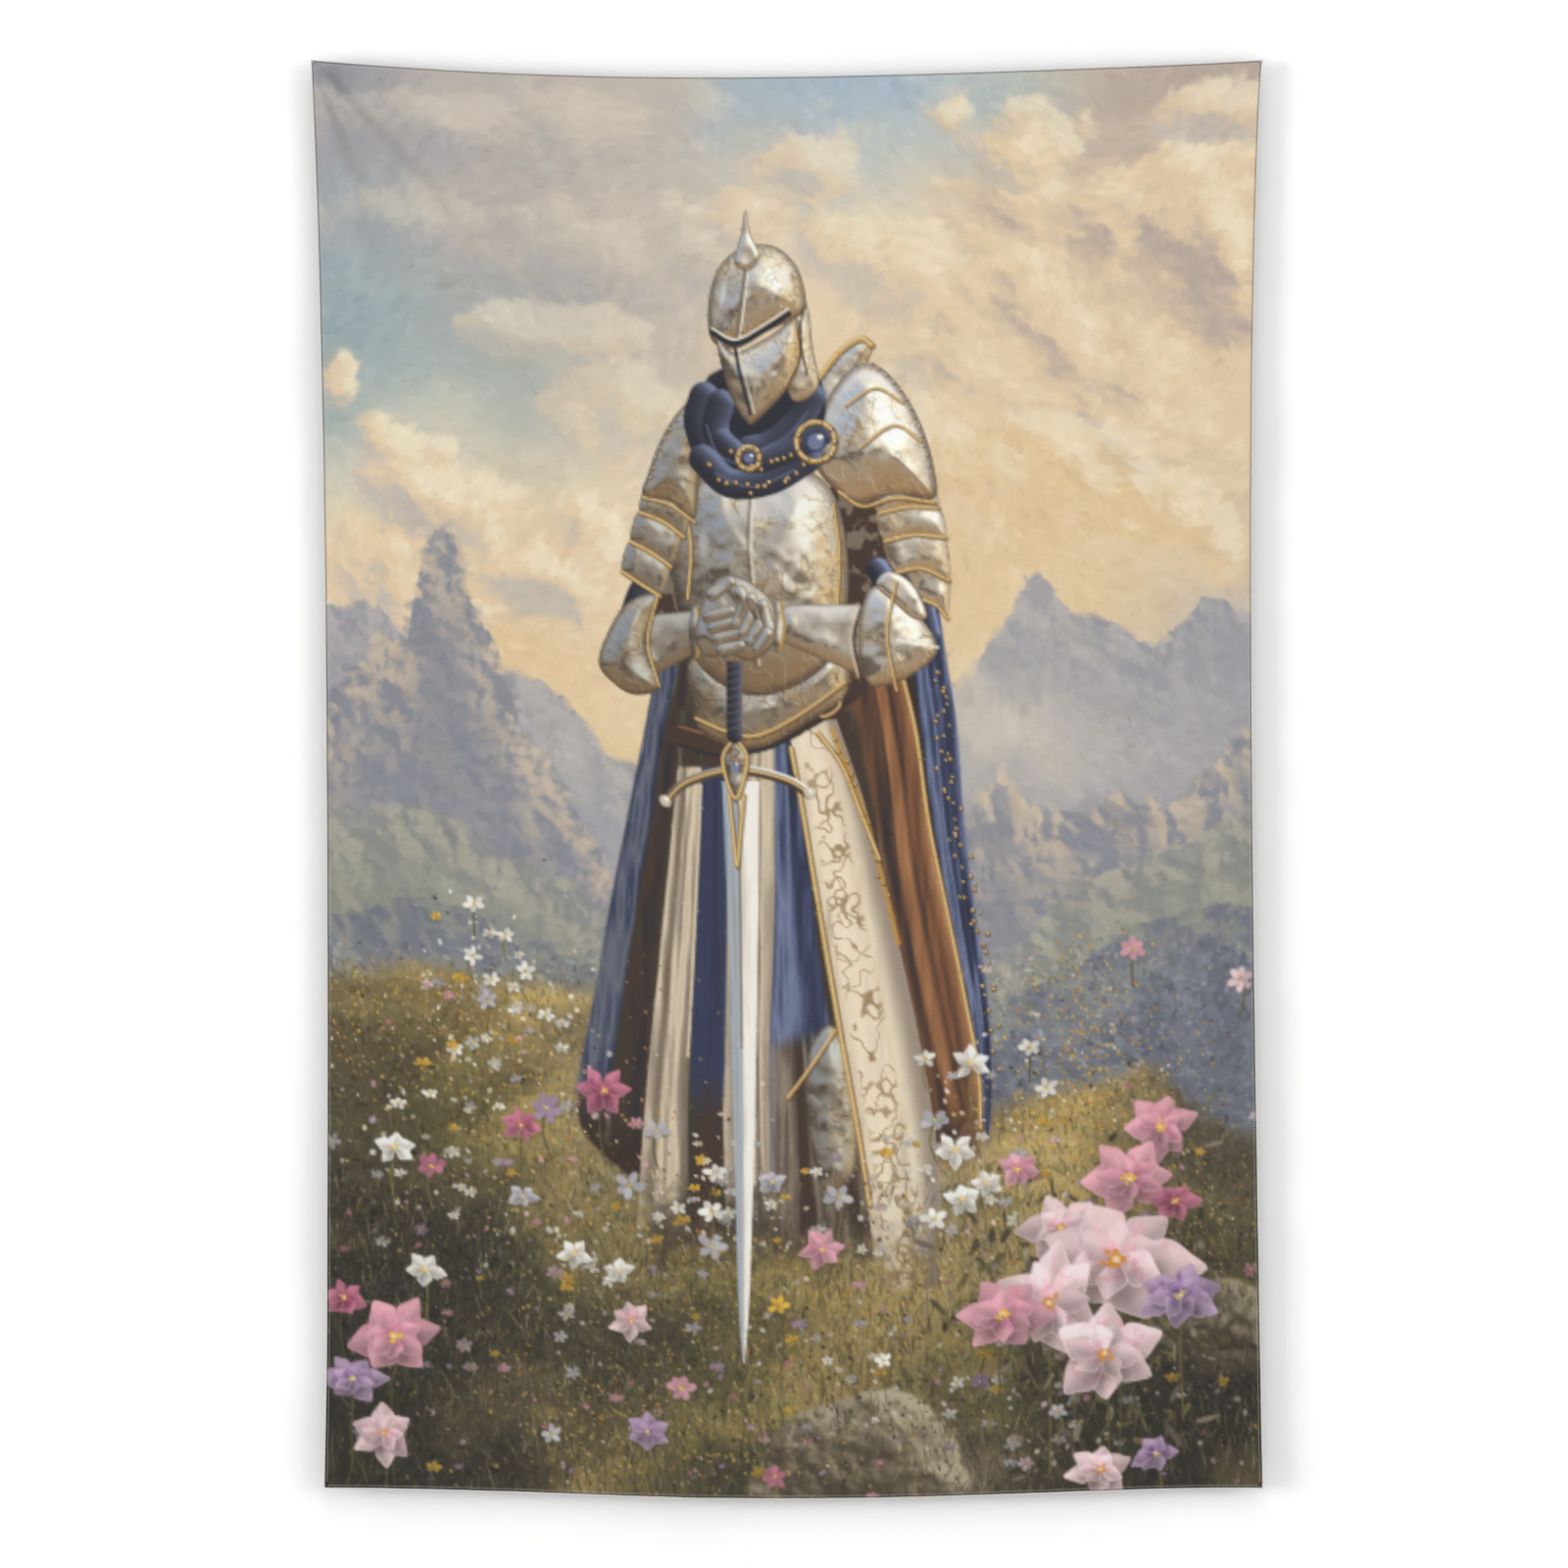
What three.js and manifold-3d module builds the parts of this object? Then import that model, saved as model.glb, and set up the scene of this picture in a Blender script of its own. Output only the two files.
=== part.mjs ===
// A printed cloth wall hanging, held flat to a wall by one steel pin through each upper corner.
// Millimetres. +X is right and +Z is up as seen from the front. The wall is the plane Y = 0,
// and the cloth hangs in front of it, towards -Y. The origin is midway between the two pins.

import * as THREE from 'three';
import { mergeVertices } from 'three/addons/utils/BufferGeometryUtils.js';
import Module from 'manifold-3d';

// Finished cloth
const clothWidth = 1016;
const clothHeight = 1524;
const clothThickness = 0.5;
const layerGap = 0.3;

// Hems: a narrow strip at each edge, folded back twice behind the panel
const hemWidth = 5;
const hemLayers = 2;
const hemThickness = hemLayers * clothThickness;

// Lockstitch: needle thread on the front, bobbin thread on the back
const threadSize = 0.3;
const stitchMargin = 1.2;
const stitchInset = hemWidth - stitchMargin;

// Wall pins, each through the middle of a hem corner
const pinShaftRadius = 0.6;
const pinShaftLength = 24;
const pinTipLength = 3;
const pinHeadRadius = 1.7;
const pinHeadHeight = 1;
const pinClearance = 0.3;
const pinInset = hemWidth / 2;
const pinSides = 16;

// How the hung edges bend away from a true rectangle
const topSag = 17.8;
const topLean = 2;
const leftPull = 17.5;
const leftFlick = 3.5;
const rightPull = 12;
const bottomBow = 11.5;

// How the cloth stands off the wall
const wallGap = 1;
const billow = 3.5;
const foldDepth = 1.4;
const foldCount = 3;
const foldSlant = 0.35;
const flatCorner = 60;
const relaxLength = 160;

// Depths below the cloth's front face, towards the wall
const panelBack = clothThickness;
const hemFront = panelBack + layerGap;
const hemBack = hemFront + hemThickness;
const needleBack = -layerGap;
const needleFront = needleBack - threadSize;
const bobbinFront = hemBack + layerGap;
const bobbinBack = bobbinFront + threadSize;
const frontToWall = hemBack + wallGap;

// Grid of the cloth between its hems
const columns = 24;
const rows = 36;

// Threads stop short of the pin heads and of each other
const threadStart = Math.max(pinInset + pinHeadRadius, stitchInset + threadSize) + layerGap;

const printMaterial = new THREE.MeshStandardMaterial({ color: 0xa59c88, roughness: 0.85, metalness: 0 });
const hemMaterial = new THREE.MeshStandardMaterial({ color: 0xe6e3dc, roughness: 0.9, metalness: 0 });
const threadMaterial = new THREE.MeshStandardMaterial({ color: 0xd8d2c6, roughness: 0.6, metalness: 0 });
const steelMaterial = new THREE.MeshStandardMaterial({ color: 0x8a8d92, roughness: 0.35, metalness: 1 });

const wasm = await Module();
wasm.setup();

// Edge shapes, with across = 0 at the left and down = 0 at the top, both ending at 1

function topEdge(across) {
  return topSag * (1 - (2 * across - 1) ** 2) + topLean * Math.sin(2 * Math.PI * across);
}

function bottomEdge(across) {
  return clothHeight + bottomBow * Math.sin(Math.PI * across) ** 2;
}

function leftEdge(down) {
  return leftPull * (1 - (1 - down) ** 4) - leftFlick * down ** 12;
}

function rightEdge(down) {
  return clothWidth - rightPull * Math.sin(Math.PI * down ** 0.68);
}

// 0 in the flat patch round each upper corner, rising smoothly to 1 away from them
function freedom(fromLeft, fromTop) {
  const nearest = Math.min(fromLeft, clothWidth - fromLeft);
  const distance = Math.max(nearest, fromTop);
  return THREE.MathUtils.smoothstep(distance, flatCorner, flatCorner + relaxLength);
}

// How far the cloth stands forward of where it lies at the pins
function standOff(fromLeft, fromTop) {
  const across = fromLeft / clothWidth;
  const down = fromTop / clothHeight;
  const swell = billow * Math.sin(Math.PI * across) * (0.4 + 0.6 * Math.sin(Math.PI * down));
  const turns = foldCount * across + foldSlant * down;
  const folds = foldDepth * (0.3 + 0.7 * down) * (1 - Math.cos(2 * Math.PI * turns));
  return freedom(fromLeft, fromTop) * (swell + folds);
}

// A place on the hung cloth, at a depth below its front face
function placeOnCloth(fromLeft, fromTop, depth) {
  const across = fromLeft / clothWidth;
  const down = fromTop / clothHeight;
  const x = THREE.MathUtils.lerp(leftEdge(down), rightEdge(down), across);
  const z = THREE.MathUtils.lerp(topEdge(across), bottomEdge(across), down);
  const y = depth - frontToWall - standOff(fromLeft, fromTop);
  return new THREE.Vector3(x, y, -z);
}

// Grid lines from start to end, with those between the hems evenly spaced
function gridLines(start, end, length, count) {
  const lines = [start];
  for (let i = 0; i <= count; i++) {
    const line = hemWidth + ((length - 2 * hemWidth) * i) / count;
    if (line > start + threadSize && line < end - threadSize) lines.push(line);
  }
  lines.push(end);
  return lines;
}

// A closed layer of the cloth between two depths, over a grid of lines across and down
function layer(acrossLines, downLines, frontDepth, backDepth) {
  const cellsAcross = acrossLines.length - 1;
  const cellsDown = downLines.length - 1;
  const geometry = new THREE.BoxGeometry(cellsAcross, cellsDown, 1, cellsAcross, cellsDown, 1);
  const position = geometry.attributes.position;
  for (let i = 0; i < position.count; i++) {
    const column = Math.round(position.getX(i) + cellsAcross / 2);
    const row = Math.round(cellsDown / 2 - position.getY(i));
    const depth = position.getZ(i) > 0 ? frontDepth : backDepth;
    const place = placeOnCloth(acrossLines[column], downLines[row], depth);
    position.setXYZ(i, place.x, place.y, place.z);
  }
  return geometry;
}

function solidOf(geometry) {
  const bare = geometry.clone();
  bare.deleteAttribute('normal');
  bare.deleteAttribute('uv');
  const merged = mergeVertices(bare);
  return new wasm.Manifold(new wasm.Mesh({
    numProp: 3,
    vertProperties: merged.attributes.position.array,
    triVerts: new Uint32Array(merged.index.array),
  }));
}

function geometryOf(solid) {
  const mesh = solid.getMesh();
  const geometry = new THREE.BufferGeometry();
  geometry.setAttribute('position', new THREE.BufferAttribute(mesh.vertProperties, 3));
  geometry.setIndex(new THREE.BufferAttribute(mesh.triVerts, 1));
  geometry.computeVertexNormals();
  return geometry;
}

const pinPlaces = {
  left: placeOnCloth(pinInset, pinInset, 0),
  right: placeOnCloth(clothWidth - pinInset, pinInset, 0),
};

// The layer with a clearance hole where each pin passes through it
function pierced(geometry) {
  let solid = solidOf(geometry);
  for (const place of Object.values(pinPlaces)) {
    const hole = new THREE.CylinderGeometry(
      pinShaftRadius + pinClearance, pinShaftRadius + pinClearance, 4 * frontToWall, pinSides);
    hole.translate(place.x, place.y, place.z);
    solid = solid.subtract(solidOf(hole));
  }
  return geometryOf(solid);
}

function printedPanel() {
  const acrossLines = gridLines(0, clothWidth, clothWidth, columns);
  const downLines = gridLines(0, clothHeight, clothHeight, rows);
  return pierced(layer(acrossLines, downLines, 0, panelBack));
}

const farFromLeft = clothWidth - hemWidth;
const farFromTop = clothHeight - hemWidth;

// The top and bottom hems run the full width, and the side hems butt up to them
function levelHem(start) {
  const acrossLines = gridLines(0, clothWidth, clothWidth, columns);
  return layer(acrossLines, [start, start + hemWidth], hemFront, hemBack);
}

function sideHem(start) {
  const downLines = gridLines(hemWidth + layerGap, farFromTop - layerGap, clothHeight, rows);
  return layer([start, start + hemWidth], downLines, hemFront, hemBack);
}

function levelThread(fromTop, frontDepth, backDepth) {
  const acrossLines = gridLines(threadStart, clothWidth - threadStart, clothWidth, columns);
  const downLines = [fromTop - threadSize / 2, fromTop + threadSize / 2];
  return layer(acrossLines, downLines, frontDepth, backDepth);
}

function sideThread(fromLeft, frontDepth, backDepth) {
  const acrossLines = [fromLeft - threadSize / 2, fromLeft + threadSize / 2];
  const downLines = gridLines(threadStart, clothHeight - threadStart, clothHeight, rows);
  return layer(acrossLines, downLines, frontDepth, backDepth);
}

// A pin with a low domed head and a pointed shaft, its head resting on the cloth's front
function wallPin(place) {
  const shoulder = 0.55 * pinHeadHeight;
  const profile = [
    [0, -pinHeadHeight],
    [0.6 * pinHeadRadius, -0.85 * pinHeadHeight],
    [pinHeadRadius, -shoulder],
    [pinHeadRadius, 0],
    [pinShaftRadius, 0],
    [pinShaftRadius, pinShaftLength - pinTipLength],
    [0, pinShaftLength],
  ].map(([radius, along]) => new THREE.Vector2(radius, along));
  const geometry = new THREE.LatheGeometry(profile, pinSides);
  geometry.translate(place.x, place.y + needleBack, place.z);
  return geometry;
}

const hanging = new THREE.Group();
const hangPoint = new THREE.Vector3().addVectors(pinPlaces.left, pinPlaces.right).divideScalar(2);
hanging.position.set(-hangPoint.x, 0, -hangPoint.z);

function addPiece(name, geometry, material) {
  const piece = new THREE.Mesh(geometry, material);
  piece.name = name;
  hanging.add(piece);
}

addPiece('printed_panel', printedPanel(), printMaterial);
addPiece('top_hem', pierced(levelHem(0)), hemMaterial);
addPiece('bottom_hem', levelHem(farFromTop), hemMaterial);
addPiece('left_hem', sideHem(0), hemMaterial);
addPiece('right_hem', sideHem(farFromLeft), hemMaterial);

const threadLayers = [
  { kind: 'needle_thread', front: needleFront, back: needleBack },
  { kind: 'bobbin_thread', front: bobbinFront, back: bobbinBack },
];
for (const { kind, front, back } of threadLayers) {
  addPiece(`top_${kind}`, levelThread(stitchInset, front, back), threadMaterial);
  addPiece(`bottom_${kind}`, levelThread(clothHeight - stitchInset, front, back), threadMaterial);
  addPiece(`left_${kind}`, sideThread(stitchInset, front, back), threadMaterial);
  addPiece(`right_${kind}`, sideThread(clothWidth - stitchInset, front, back), threadMaterial);
}

for (const [side, place] of Object.entries(pinPlaces)) {
  addPiece(`${side}_wall_pin`, wallPin(place), steelMaterial);
}

export default hanging;
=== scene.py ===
"""A printed tapestry on a wall: a thin cloth sheet held by a pin through each upper corner.

Metres, in the frame of the CAD model: +X right, +Z up, the viewer towards -Y.
The printed picture is painted here too, on a canvas measured in centimetres of cloth.
"""

import math

import bpy
import numpy as np
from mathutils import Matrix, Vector


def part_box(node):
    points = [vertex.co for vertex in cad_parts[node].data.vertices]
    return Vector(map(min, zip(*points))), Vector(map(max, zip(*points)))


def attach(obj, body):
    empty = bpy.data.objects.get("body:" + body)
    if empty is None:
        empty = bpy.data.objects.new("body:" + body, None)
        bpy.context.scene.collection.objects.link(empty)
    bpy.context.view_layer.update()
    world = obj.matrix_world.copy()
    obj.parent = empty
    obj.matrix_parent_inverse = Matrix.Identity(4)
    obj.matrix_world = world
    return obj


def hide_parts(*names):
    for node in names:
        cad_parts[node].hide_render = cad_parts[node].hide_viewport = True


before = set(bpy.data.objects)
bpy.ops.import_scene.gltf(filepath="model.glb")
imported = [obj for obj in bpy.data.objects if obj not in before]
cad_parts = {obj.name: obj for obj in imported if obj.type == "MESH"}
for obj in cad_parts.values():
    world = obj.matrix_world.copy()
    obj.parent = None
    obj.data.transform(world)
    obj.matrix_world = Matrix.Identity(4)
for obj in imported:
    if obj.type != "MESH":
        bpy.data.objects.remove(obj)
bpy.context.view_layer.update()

# ======================================================================
# Canvas
# ======================================================================
WIDE, HIGH = 101.6, 152.4          # the cloth, cm
DOTS = 10                          # canvas dots per cm
COLS, ROWS = round(WIDE * DOTS), round(HIGH * DOTS)
ACROSS, DOWN = np.meshgrid((np.arange(COLS) + 0.5) / DOTS, (np.arange(ROWS) + 0.5) / DOTS)
ACROSS, DOWN = ACROSS.astype(np.float32), DOWN.astype(np.float32)
CANVAS = np.zeros((ROWS, COLS, 3))   # the painting: red, green and blue from 0 to 1

TINY = 1e-12                       # keeps a division away from zero
NOISE_GAIN = 1.6                   # brings the spread of the noise to about -1 to 1


def rgb(red, green, blue):
    """A display colour given from 0 to 255, as shares from 0 to 1."""
    return np.array([red, green, blue], np.float32) / 255


INK = {
    "lilac": rgb(168, 166, 172), "haze": rgb(200, 190, 178), "teal": rgb(150, 176, 184),
    "blue": rgb(150, 180, 208), "peach": rgb(234, 208, 172), "cream": rgb(244, 230, 200),
    "gold": rgb(230, 200, 152), "mauve": rgb(188, 172, 160), "slate": rgb(138, 140, 150),
    "dusk": rgb(104, 108, 120), "sage": rgb(144, 146, 130), "olive": rgb(104, 96, 58),
    "earth": rgb(56, 50, 38), "straw": rgb(200, 172, 104), "leaf": rgb(124, 114, 60),
    "navy": rgb(46, 54, 84), "night": rgb(30, 31, 44), "sky_blue": rgb(118, 128, 160),
    "rust": rgb(112, 72, 46), "umber": rgb(66, 46, 36), "ivory": rgb(226, 208, 180),
    "taupe": rgb(150, 136, 118), "white": rgb(250, 246, 236), "brass": rgb(196, 148, 62),
    "pink": rgb(218, 160, 172), "rose": rgb(194, 118, 140), "violet": rgb(178, 152, 180),
    "blush": rgb(232, 204, 206), "sun": rgb(236, 190, 70), "amber": rgb(214, 142, 50),
    "gleam": rgb(255, 250, 234), "keen": rgb(250, 244, 226),
}


def smooth(value, low, high):
    """0 up to low, 1 from high on, and a smooth step between."""
    part = np.clip((value - low) / (high - low), 0, 1)
    return part * part * (3 - 2 * part)


def mix(under, over, share):
    """One colour field laid over another by a share for each dot."""
    return under + (over - under) * share[..., None]

# ======================================================================
# Noise
# ======================================================================


def blend_along(grid, cells, count, axis):
    """Stretches a coarse grid to count dots along one axis, with smooth steps between its values."""
    place = (np.arange(count) + 0.5) / count * cells
    low = place.astype(int)
    part = (place - low).astype(np.float32)
    part = part * part * (3 - 2 * part)
    part = part[:, None] if axis == 0 else part[None, :]
    return grid.take(low, axis) * (1 - part) + grid.take(low + 1, axis) * part


def noise(cell, seed, octaves=4, stretch=1.0, keep=0.5):
    """Smooth noise, about -1 to 1. cell is the size of its largest bumps in cm."""
    random = np.random.default_rng(seed)
    total = np.zeros((ROWS, COLS), np.float32)
    weight, power = 1.0, 0.0
    for _ in range(octaves):
        shape = (int(HIGH / cell) + 3, int(WIDE / (cell * stretch)) + 3)
        grid = random.uniform(-1, 1, shape).astype(np.float32)
        rows = blend_along(grid, HIGH / cell, ROWS, 0)
        total += weight * blend_along(rows, WIDE / (cell * stretch), COLS, 1)
        power += weight
        weight *= keep
        cell /= 2
    return total / power * NOISE_GAIN

# ======================================================================
# Shapes
# ======================================================================


def curve(points, closed=True, steps=6):
    """A Catmull-Rom curve through the points."""
    points = np.array(points, float)
    if closed:
        before, after, last = np.roll(points, 1, 0), np.roll(points, -1, 0), np.roll(points, -2, 0)
        here = points
    else:
        ends = np.vstack([2 * points[0] - points[1], points, 2 * points[-1] - points[-2]])
        before, here, after, last = ends[:-3], ends[1:-2], ends[2:-1], ends[3:]
    out = []
    for part in np.linspace(0, 1, steps, endpoint=False):
        out.append(0.5 * (2 * here + (after - before) * part
                          + (2 * before - 5 * here + 4 * after - last) * part ** 2
                          + (3 * here - before - 3 * after + last) * part ** 3))
    path = np.stack(out, 1).reshape(-1, 2)
    return path if closed else np.vstack([path, points[-1]])


def window(points, margin):
    """The part of the canvas round the points, as two slices."""
    low, high = points.min(0) - margin, points.max(0) + margin
    left, top = (max(0, int(v * DOTS)) for v in low)
    right, bottom = min(COLS, int(high[0] * DOTS) + 2), min(ROWS, int(high[1] * DOTS) + 2)
    return slice(top, bottom), slice(left, right)


def distances(path, area, closed=True):
    """Distance in cm from each dot of the area to the path, and whether it is inside."""
    x, y = ACROSS[area], DOWN[area]
    nearest = np.full(x.shape, np.inf, np.float32)
    inside = np.zeros(x.shape, bool)
    ends = np.roll(path, -1, 0) if closed else path[1:]
    for (ax, ay), (bx, by) in zip(path, ends):
        ux, uy = bx - ax, by - ay
        along = ((x - ax) * ux + (y - ay) * uy) / (ux * ux + uy * uy + TINY)
        along = np.clip(along, 0, 1)
        nearest = np.minimum(nearest, (x - ax - along * ux) ** 2 + (y - ay - along * uy) ** 2)
        if closed:
            rise = uy if abs(uy) > TINY else TINY
            crosses = ((ay > y) != (by > y)) & (x < ux * (y - ay) / rise + ax)
            inside ^= crosses
    return np.sqrt(nearest), inside


class Shape:
    """A closed outline on the canvas: its area, its cover from 0 to 1, and its depth inside in cm."""
    def __init__(self, points, smoothed=True, edge=0.12):
        path = curve(points) if smoothed else np.array(points, float)
        self.area = window(path, 1.0)
        nearest, inside = distances(path, self.area)
        signed = np.where(inside, nearest, -nearest)
        self.depth = np.maximum(signed, 0)
        self.cover = smooth(signed, -edge, edge)
        self.x, self.y = ACROSS[self.area], DOWN[self.area]

    def normals(self, roundness, bumps):
        """How far the surface faces right and up, with a rounded rim and bumps over it."""
        rim = np.clip(self.depth / roundness, 0, 1)
        height = np.sqrt(np.maximum(1 - (1 - rim) ** 2, 0)) * roundness
        height = soften(height + bumps[self.area], 2)
        fall_y, fall_x = np.gradient(height, 1 / DOTS)
        size = np.sqrt(fall_x ** 2 + fall_y ** 2 + 1)
        return -fall_x / size, fall_y / size


def soften(field, reach):
    """A box blur of the field over 2 * reach + 1 dots each way, twice."""
    for _ in range(2):
        for axis in (0, 1):
            width = [(reach + 1, reach) if a == axis else (0, 0) for a in range(field.ndim)]
            total = np.cumsum(np.pad(field, width, mode="edge"), axis=axis, dtype=np.float64)
            count = field.shape[axis]
            field = (total.take(range(2 * reach + 1, count + 2 * reach + 1), axis)
                     - total.take(range(count), axis)) / (2 * reach + 1)
    return field.astype(np.float32)


def shifted(field, down, right):
    """The field moved by whole dots, with its edges stretched to fill."""
    rows = np.clip(np.arange(ROWS) - down, 0, ROWS - 1)
    cols = np.clip(np.arange(COLS) - right, 0, COLS - 1)
    return field[rows][:, cols]


def lay(shape, colour, strength=1.0):
    """Fills a shape with a colour or a field of colours."""
    CANVAS[shape.area] = mix(CANVAS[shape.area], colour, shape.cover * strength)


def ribbon(points, width, colour, strength=1.0):
    """A soft line through the points."""
    path = curve(points, closed=False)
    area = window(path, width + 0.5)
    nearest, _ = distances(path, area, closed=False)
    cover = smooth(width / 2 - nearest, -0.1, 0.1) * strength
    CANVAS[area] = mix(CANVAS[area], colour, cover)


def dab(x, y, long, wide, angle, colour, strength, hard=2.0):
    """One brush mark: an oval of paint, long by wide cm, lying at an angle from +X."""
    reach = max(long, wide) / 2 + 0.1
    left, right = max(0, int((x - reach) * DOTS)), min(COLS, int((x + reach) * DOTS) + 1)
    top, bottom = max(0, int((y - reach) * DOTS)), min(ROWS, int((y + reach) * DOTS) + 1)
    if left >= right or top >= bottom:
        return
    dx = (np.arange(left, right) + 0.5) / DOTS - x
    dy = ((np.arange(top, bottom) + 0.5) / DOTS - y)[:, None]
    cos, sin = np.cos(angle), np.sin(angle)
    oval = 1 - ((dx * cos + dy * sin) * 2 / long) ** 2 - ((dy * cos - dx * sin) * 2 / wide) ** 2
    cover = np.clip(oval * hard, 0, 1) * strength
    spot = CANVAS[top:bottom, left:right]
    spot += cover[..., None] * (colour - spot)


def tone_at(field, x, y):
    """The field's value at a place in cm."""
    return field[min(ROWS - 1, int(y * DOTS)), min(COLS - 1, int(x * DOTS))]


def pick(random, choices):
    return choices[random.integers(len(choices))]


def from_patches(patches, wander_x, wander_y):
    """Soft patches of colour, each (x, y, reach, colour), blended by closeness to each one."""
    total = np.zeros((ROWS, COLS, 3), np.float32)
    weight = np.full((ROWS, COLS), 1e-6, np.float32)
    for x, y, reach, colour in patches:
        near = np.exp(-(((ACROSS + wander_x - x) ** 2 + (DOWN + wander_y - y) ** 2) / reach ** 2))
        total += near[..., None] * INK[colour]
        weight += near
    return total / weight[..., None]


SKY_AND_CORNER_SHADE = [
    # the first patch, slate at the top-left corner, is painted shade of the crease that runs from that pinned
    # corner
    (2, 2, 8, "slate"), (6, 8, 15, "lilac"), (24, 10, 16, "haze"), (20, 26, 14, "mauve"),
    (40, 8, 12, "haze"), (5, 22, 9, "teal"), (12, 32, 13, "teal"), (24, 36, 10, "teal"), (34, 26, 12, "haze"),
    (56, 4, 9, "blue"), (66, 6, 9, "blue"), (74, 4, 7, "teal"), (58, 14, 10, "cream"),
    (70, 16, 12, "peach"), (90, 8, 14, "mauve"), (84, 18, 9, "mauve"), (96, 24, 12, "peach"),
    (62, 24, 12, "peach"), (76, 34, 14, "peach"), (92, 40, 14, "peach"), (84, 52, 12, "gold"),
    (12, 44, 10, "cream"), (26, 48, 12, "peach"), (6, 56, 12, "peach"), (34, 44, 10, "cream"),
    (20, 60, 10, "gold"), (34, 60, 10, "peach"), (72, 50, 10, "gold"), (98, 56, 10, "haze"),
    (50, 60, 20, "gold"), (42, 34, 9, "haze"), (80, 62, 10, "peach"), (60, 46, 9, "gold"),
]

CLOUDS = [
    # seed, puff size, strength, then the shaded, middle and lit colours, and heaps (x, y, wide, high)
    (301, 12, 0.35, "lilac", "haze", "cream", [(14, 6, 26, 6), (30, 20, 24, 7), (8, 16, 16, 5)]),
    (302, 9, 0.5, "haze", "peach", "cream", [(38, 36, 12, 6), (24, 28, 14, 3)]),
    (311, 11, 0.7, "haze", "peach", "cream",
     [(60, 20, 12, 8), (54, 10, 10, 5), (66, 30, 10, 8), (46, 16, 8, 5)]),
    (321, 12, 0.95, "mauve", "peach", "cream",
     [(86, 14, 16, 10), (100, 22, 10, 14), (78, 24, 13, 9), (94, 36, 12, 10)]),
    (325, 7, 0.8, "haze", "peach", "cream", [(68, 5, 4, 3), (76, 8, 8, 5), (98, 4, 8, 4)]),
    (331, 10, 0.7, "peach", "gold", "cream", [(62, 42, 12, 8), (76, 44, 15, 8), (92, 50, 13, 7)]),
    (341, 9, 0.95, "haze", "peach", "cream",
     [(3, 33, 4, 6), (8, 40, 8, 7), (16, 47, 9, 7), (27, 54, 9, 7), (8, 54, 14, 8)]),
]


def sky():
    """Soft patches of colour with streaks and heaped clouds, and painted shade in the top-left corner."""
    CANVAS[:] = from_patches(SKY_AND_CORNER_SHADE, 5 * noise(14, 1), 4 * noise(14, 2))
    streaks = noise(16, 3, 6, 2.4, 0.6)
    CANVAS[:] = mix(CANVAS, INK["cream"], 0.3 * smooth(streaks, 0.1, 0.8))
    for seed, puff, strength, dark, middle, light, heaps in CLOUDS:
        rough = noise(puff, seed, 6, 1.15, 0.6)
        near = [1 - np.hypot((ACROSS - x) / wide, (DOWN - y) / high) for x, y, wide, high in heaps]
        mass = np.max(near, 0) + 0.75 * rough
        swell = soften(mass, 8)
        lit = 0.5 + 1.3 * (swell - shifted(swell, 14, -16)) + 1.6 * (mass - shifted(mass, 4, -5))
        tone = mix(np.broadcast_to(INK[dark], CANVAS.shape), INK[middle], smooth(lit, 0.0, 0.5))
        tone = mix(tone, INK[light], smooth(lit, 0.5, 1.1))
        CANVAS[:] = mix(CANVAS, tone, strength * smooth(mass, 0.0, 0.32))


def ridge(peaks, rough, seed):
    """The height of a skyline, cm down from the top, through its peaks and with broken rock between."""
    x = ACROSS[0]
    line = np.interp(x, [p[0] for p in peaks], [p[1] for p in peaks])
    broken = noise(7, seed, 6, 1.0, 0.62)[ROWS // 2]
    return line + rough * broken


RANGES = [
    # roughness, lit colour, shaded colour, haze colour, haze, and the skyline's peaks
    (1.8, "haze", "slate", "lilac", 0.55,
     [(0, 58), (6, 57), (10, 62), (16, 64), (24, 65), (31, 72), (38, 76), (60, 72), (68, 65), (74, 60),
      (78, 55), (82, 59), (87, 60), (91, 62), (96, 57), (102, 58)]),
    (2.0, "peach", "slate", "slate", 0.3,
     [(0, 66), (6, 60), (9, 62), (11, 52), (13, 49), (15, 50), (16, 57), (19, 62), (22, 72), (26, 77),
      (32, 88), (40, 92), (60, 88), (68, 82), (74, 76), (80, 80), (86, 77), (92, 81), (102, 70)]),
    (1.6, "haze", "slate", "sage", 0.4,
     [(0, 80), (8, 78), (16, 82), (26, 86), (34, 94), (60, 100), (72, 96), (82, 88), (92, 84), (102, 78)]),
    (1.4, "sage", "dusk", "slate", 0.3,
     [(0, 92), (12, 89), (22, 92), (32, 98), (70, 103), (80, 97), (90, 91), (102, 90)]),
    (1.6, "slate", "dusk", "dusk", 0.2,
     [(0, 112), (60, 112), (69, 108), (76, 102), (84, 104), (90, 97), (96, 94), (102, 97)]),
]


def mountains():
    """Ranges of rock from the furthest to the nearest, each lost in haze towards its foot."""
    for i, (rough, lit, shade, haze, veil, peaks) in enumerate(RANGES):
        skyline = ridge(peaks, rough, 40 + i)
        deep = DOWN - skyline[None, :]
        rock = noise(6, 50 + i, 6, 0.7, 0.62)
        side = np.clip((shifted(rock, 6, -6) - rock) * -3.0 + 0.42, 0, 1)
        face = INK[shade] + (INK[lit] - INK[shade]) * side[..., None]
        face = mix(face, INK[haze], np.clip(veil + 0.035 * deep, 0, 0.85))
        CANVAS[:] = mix(CANVAS, face, smooth(deep, -0.08, 0.12))


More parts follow.
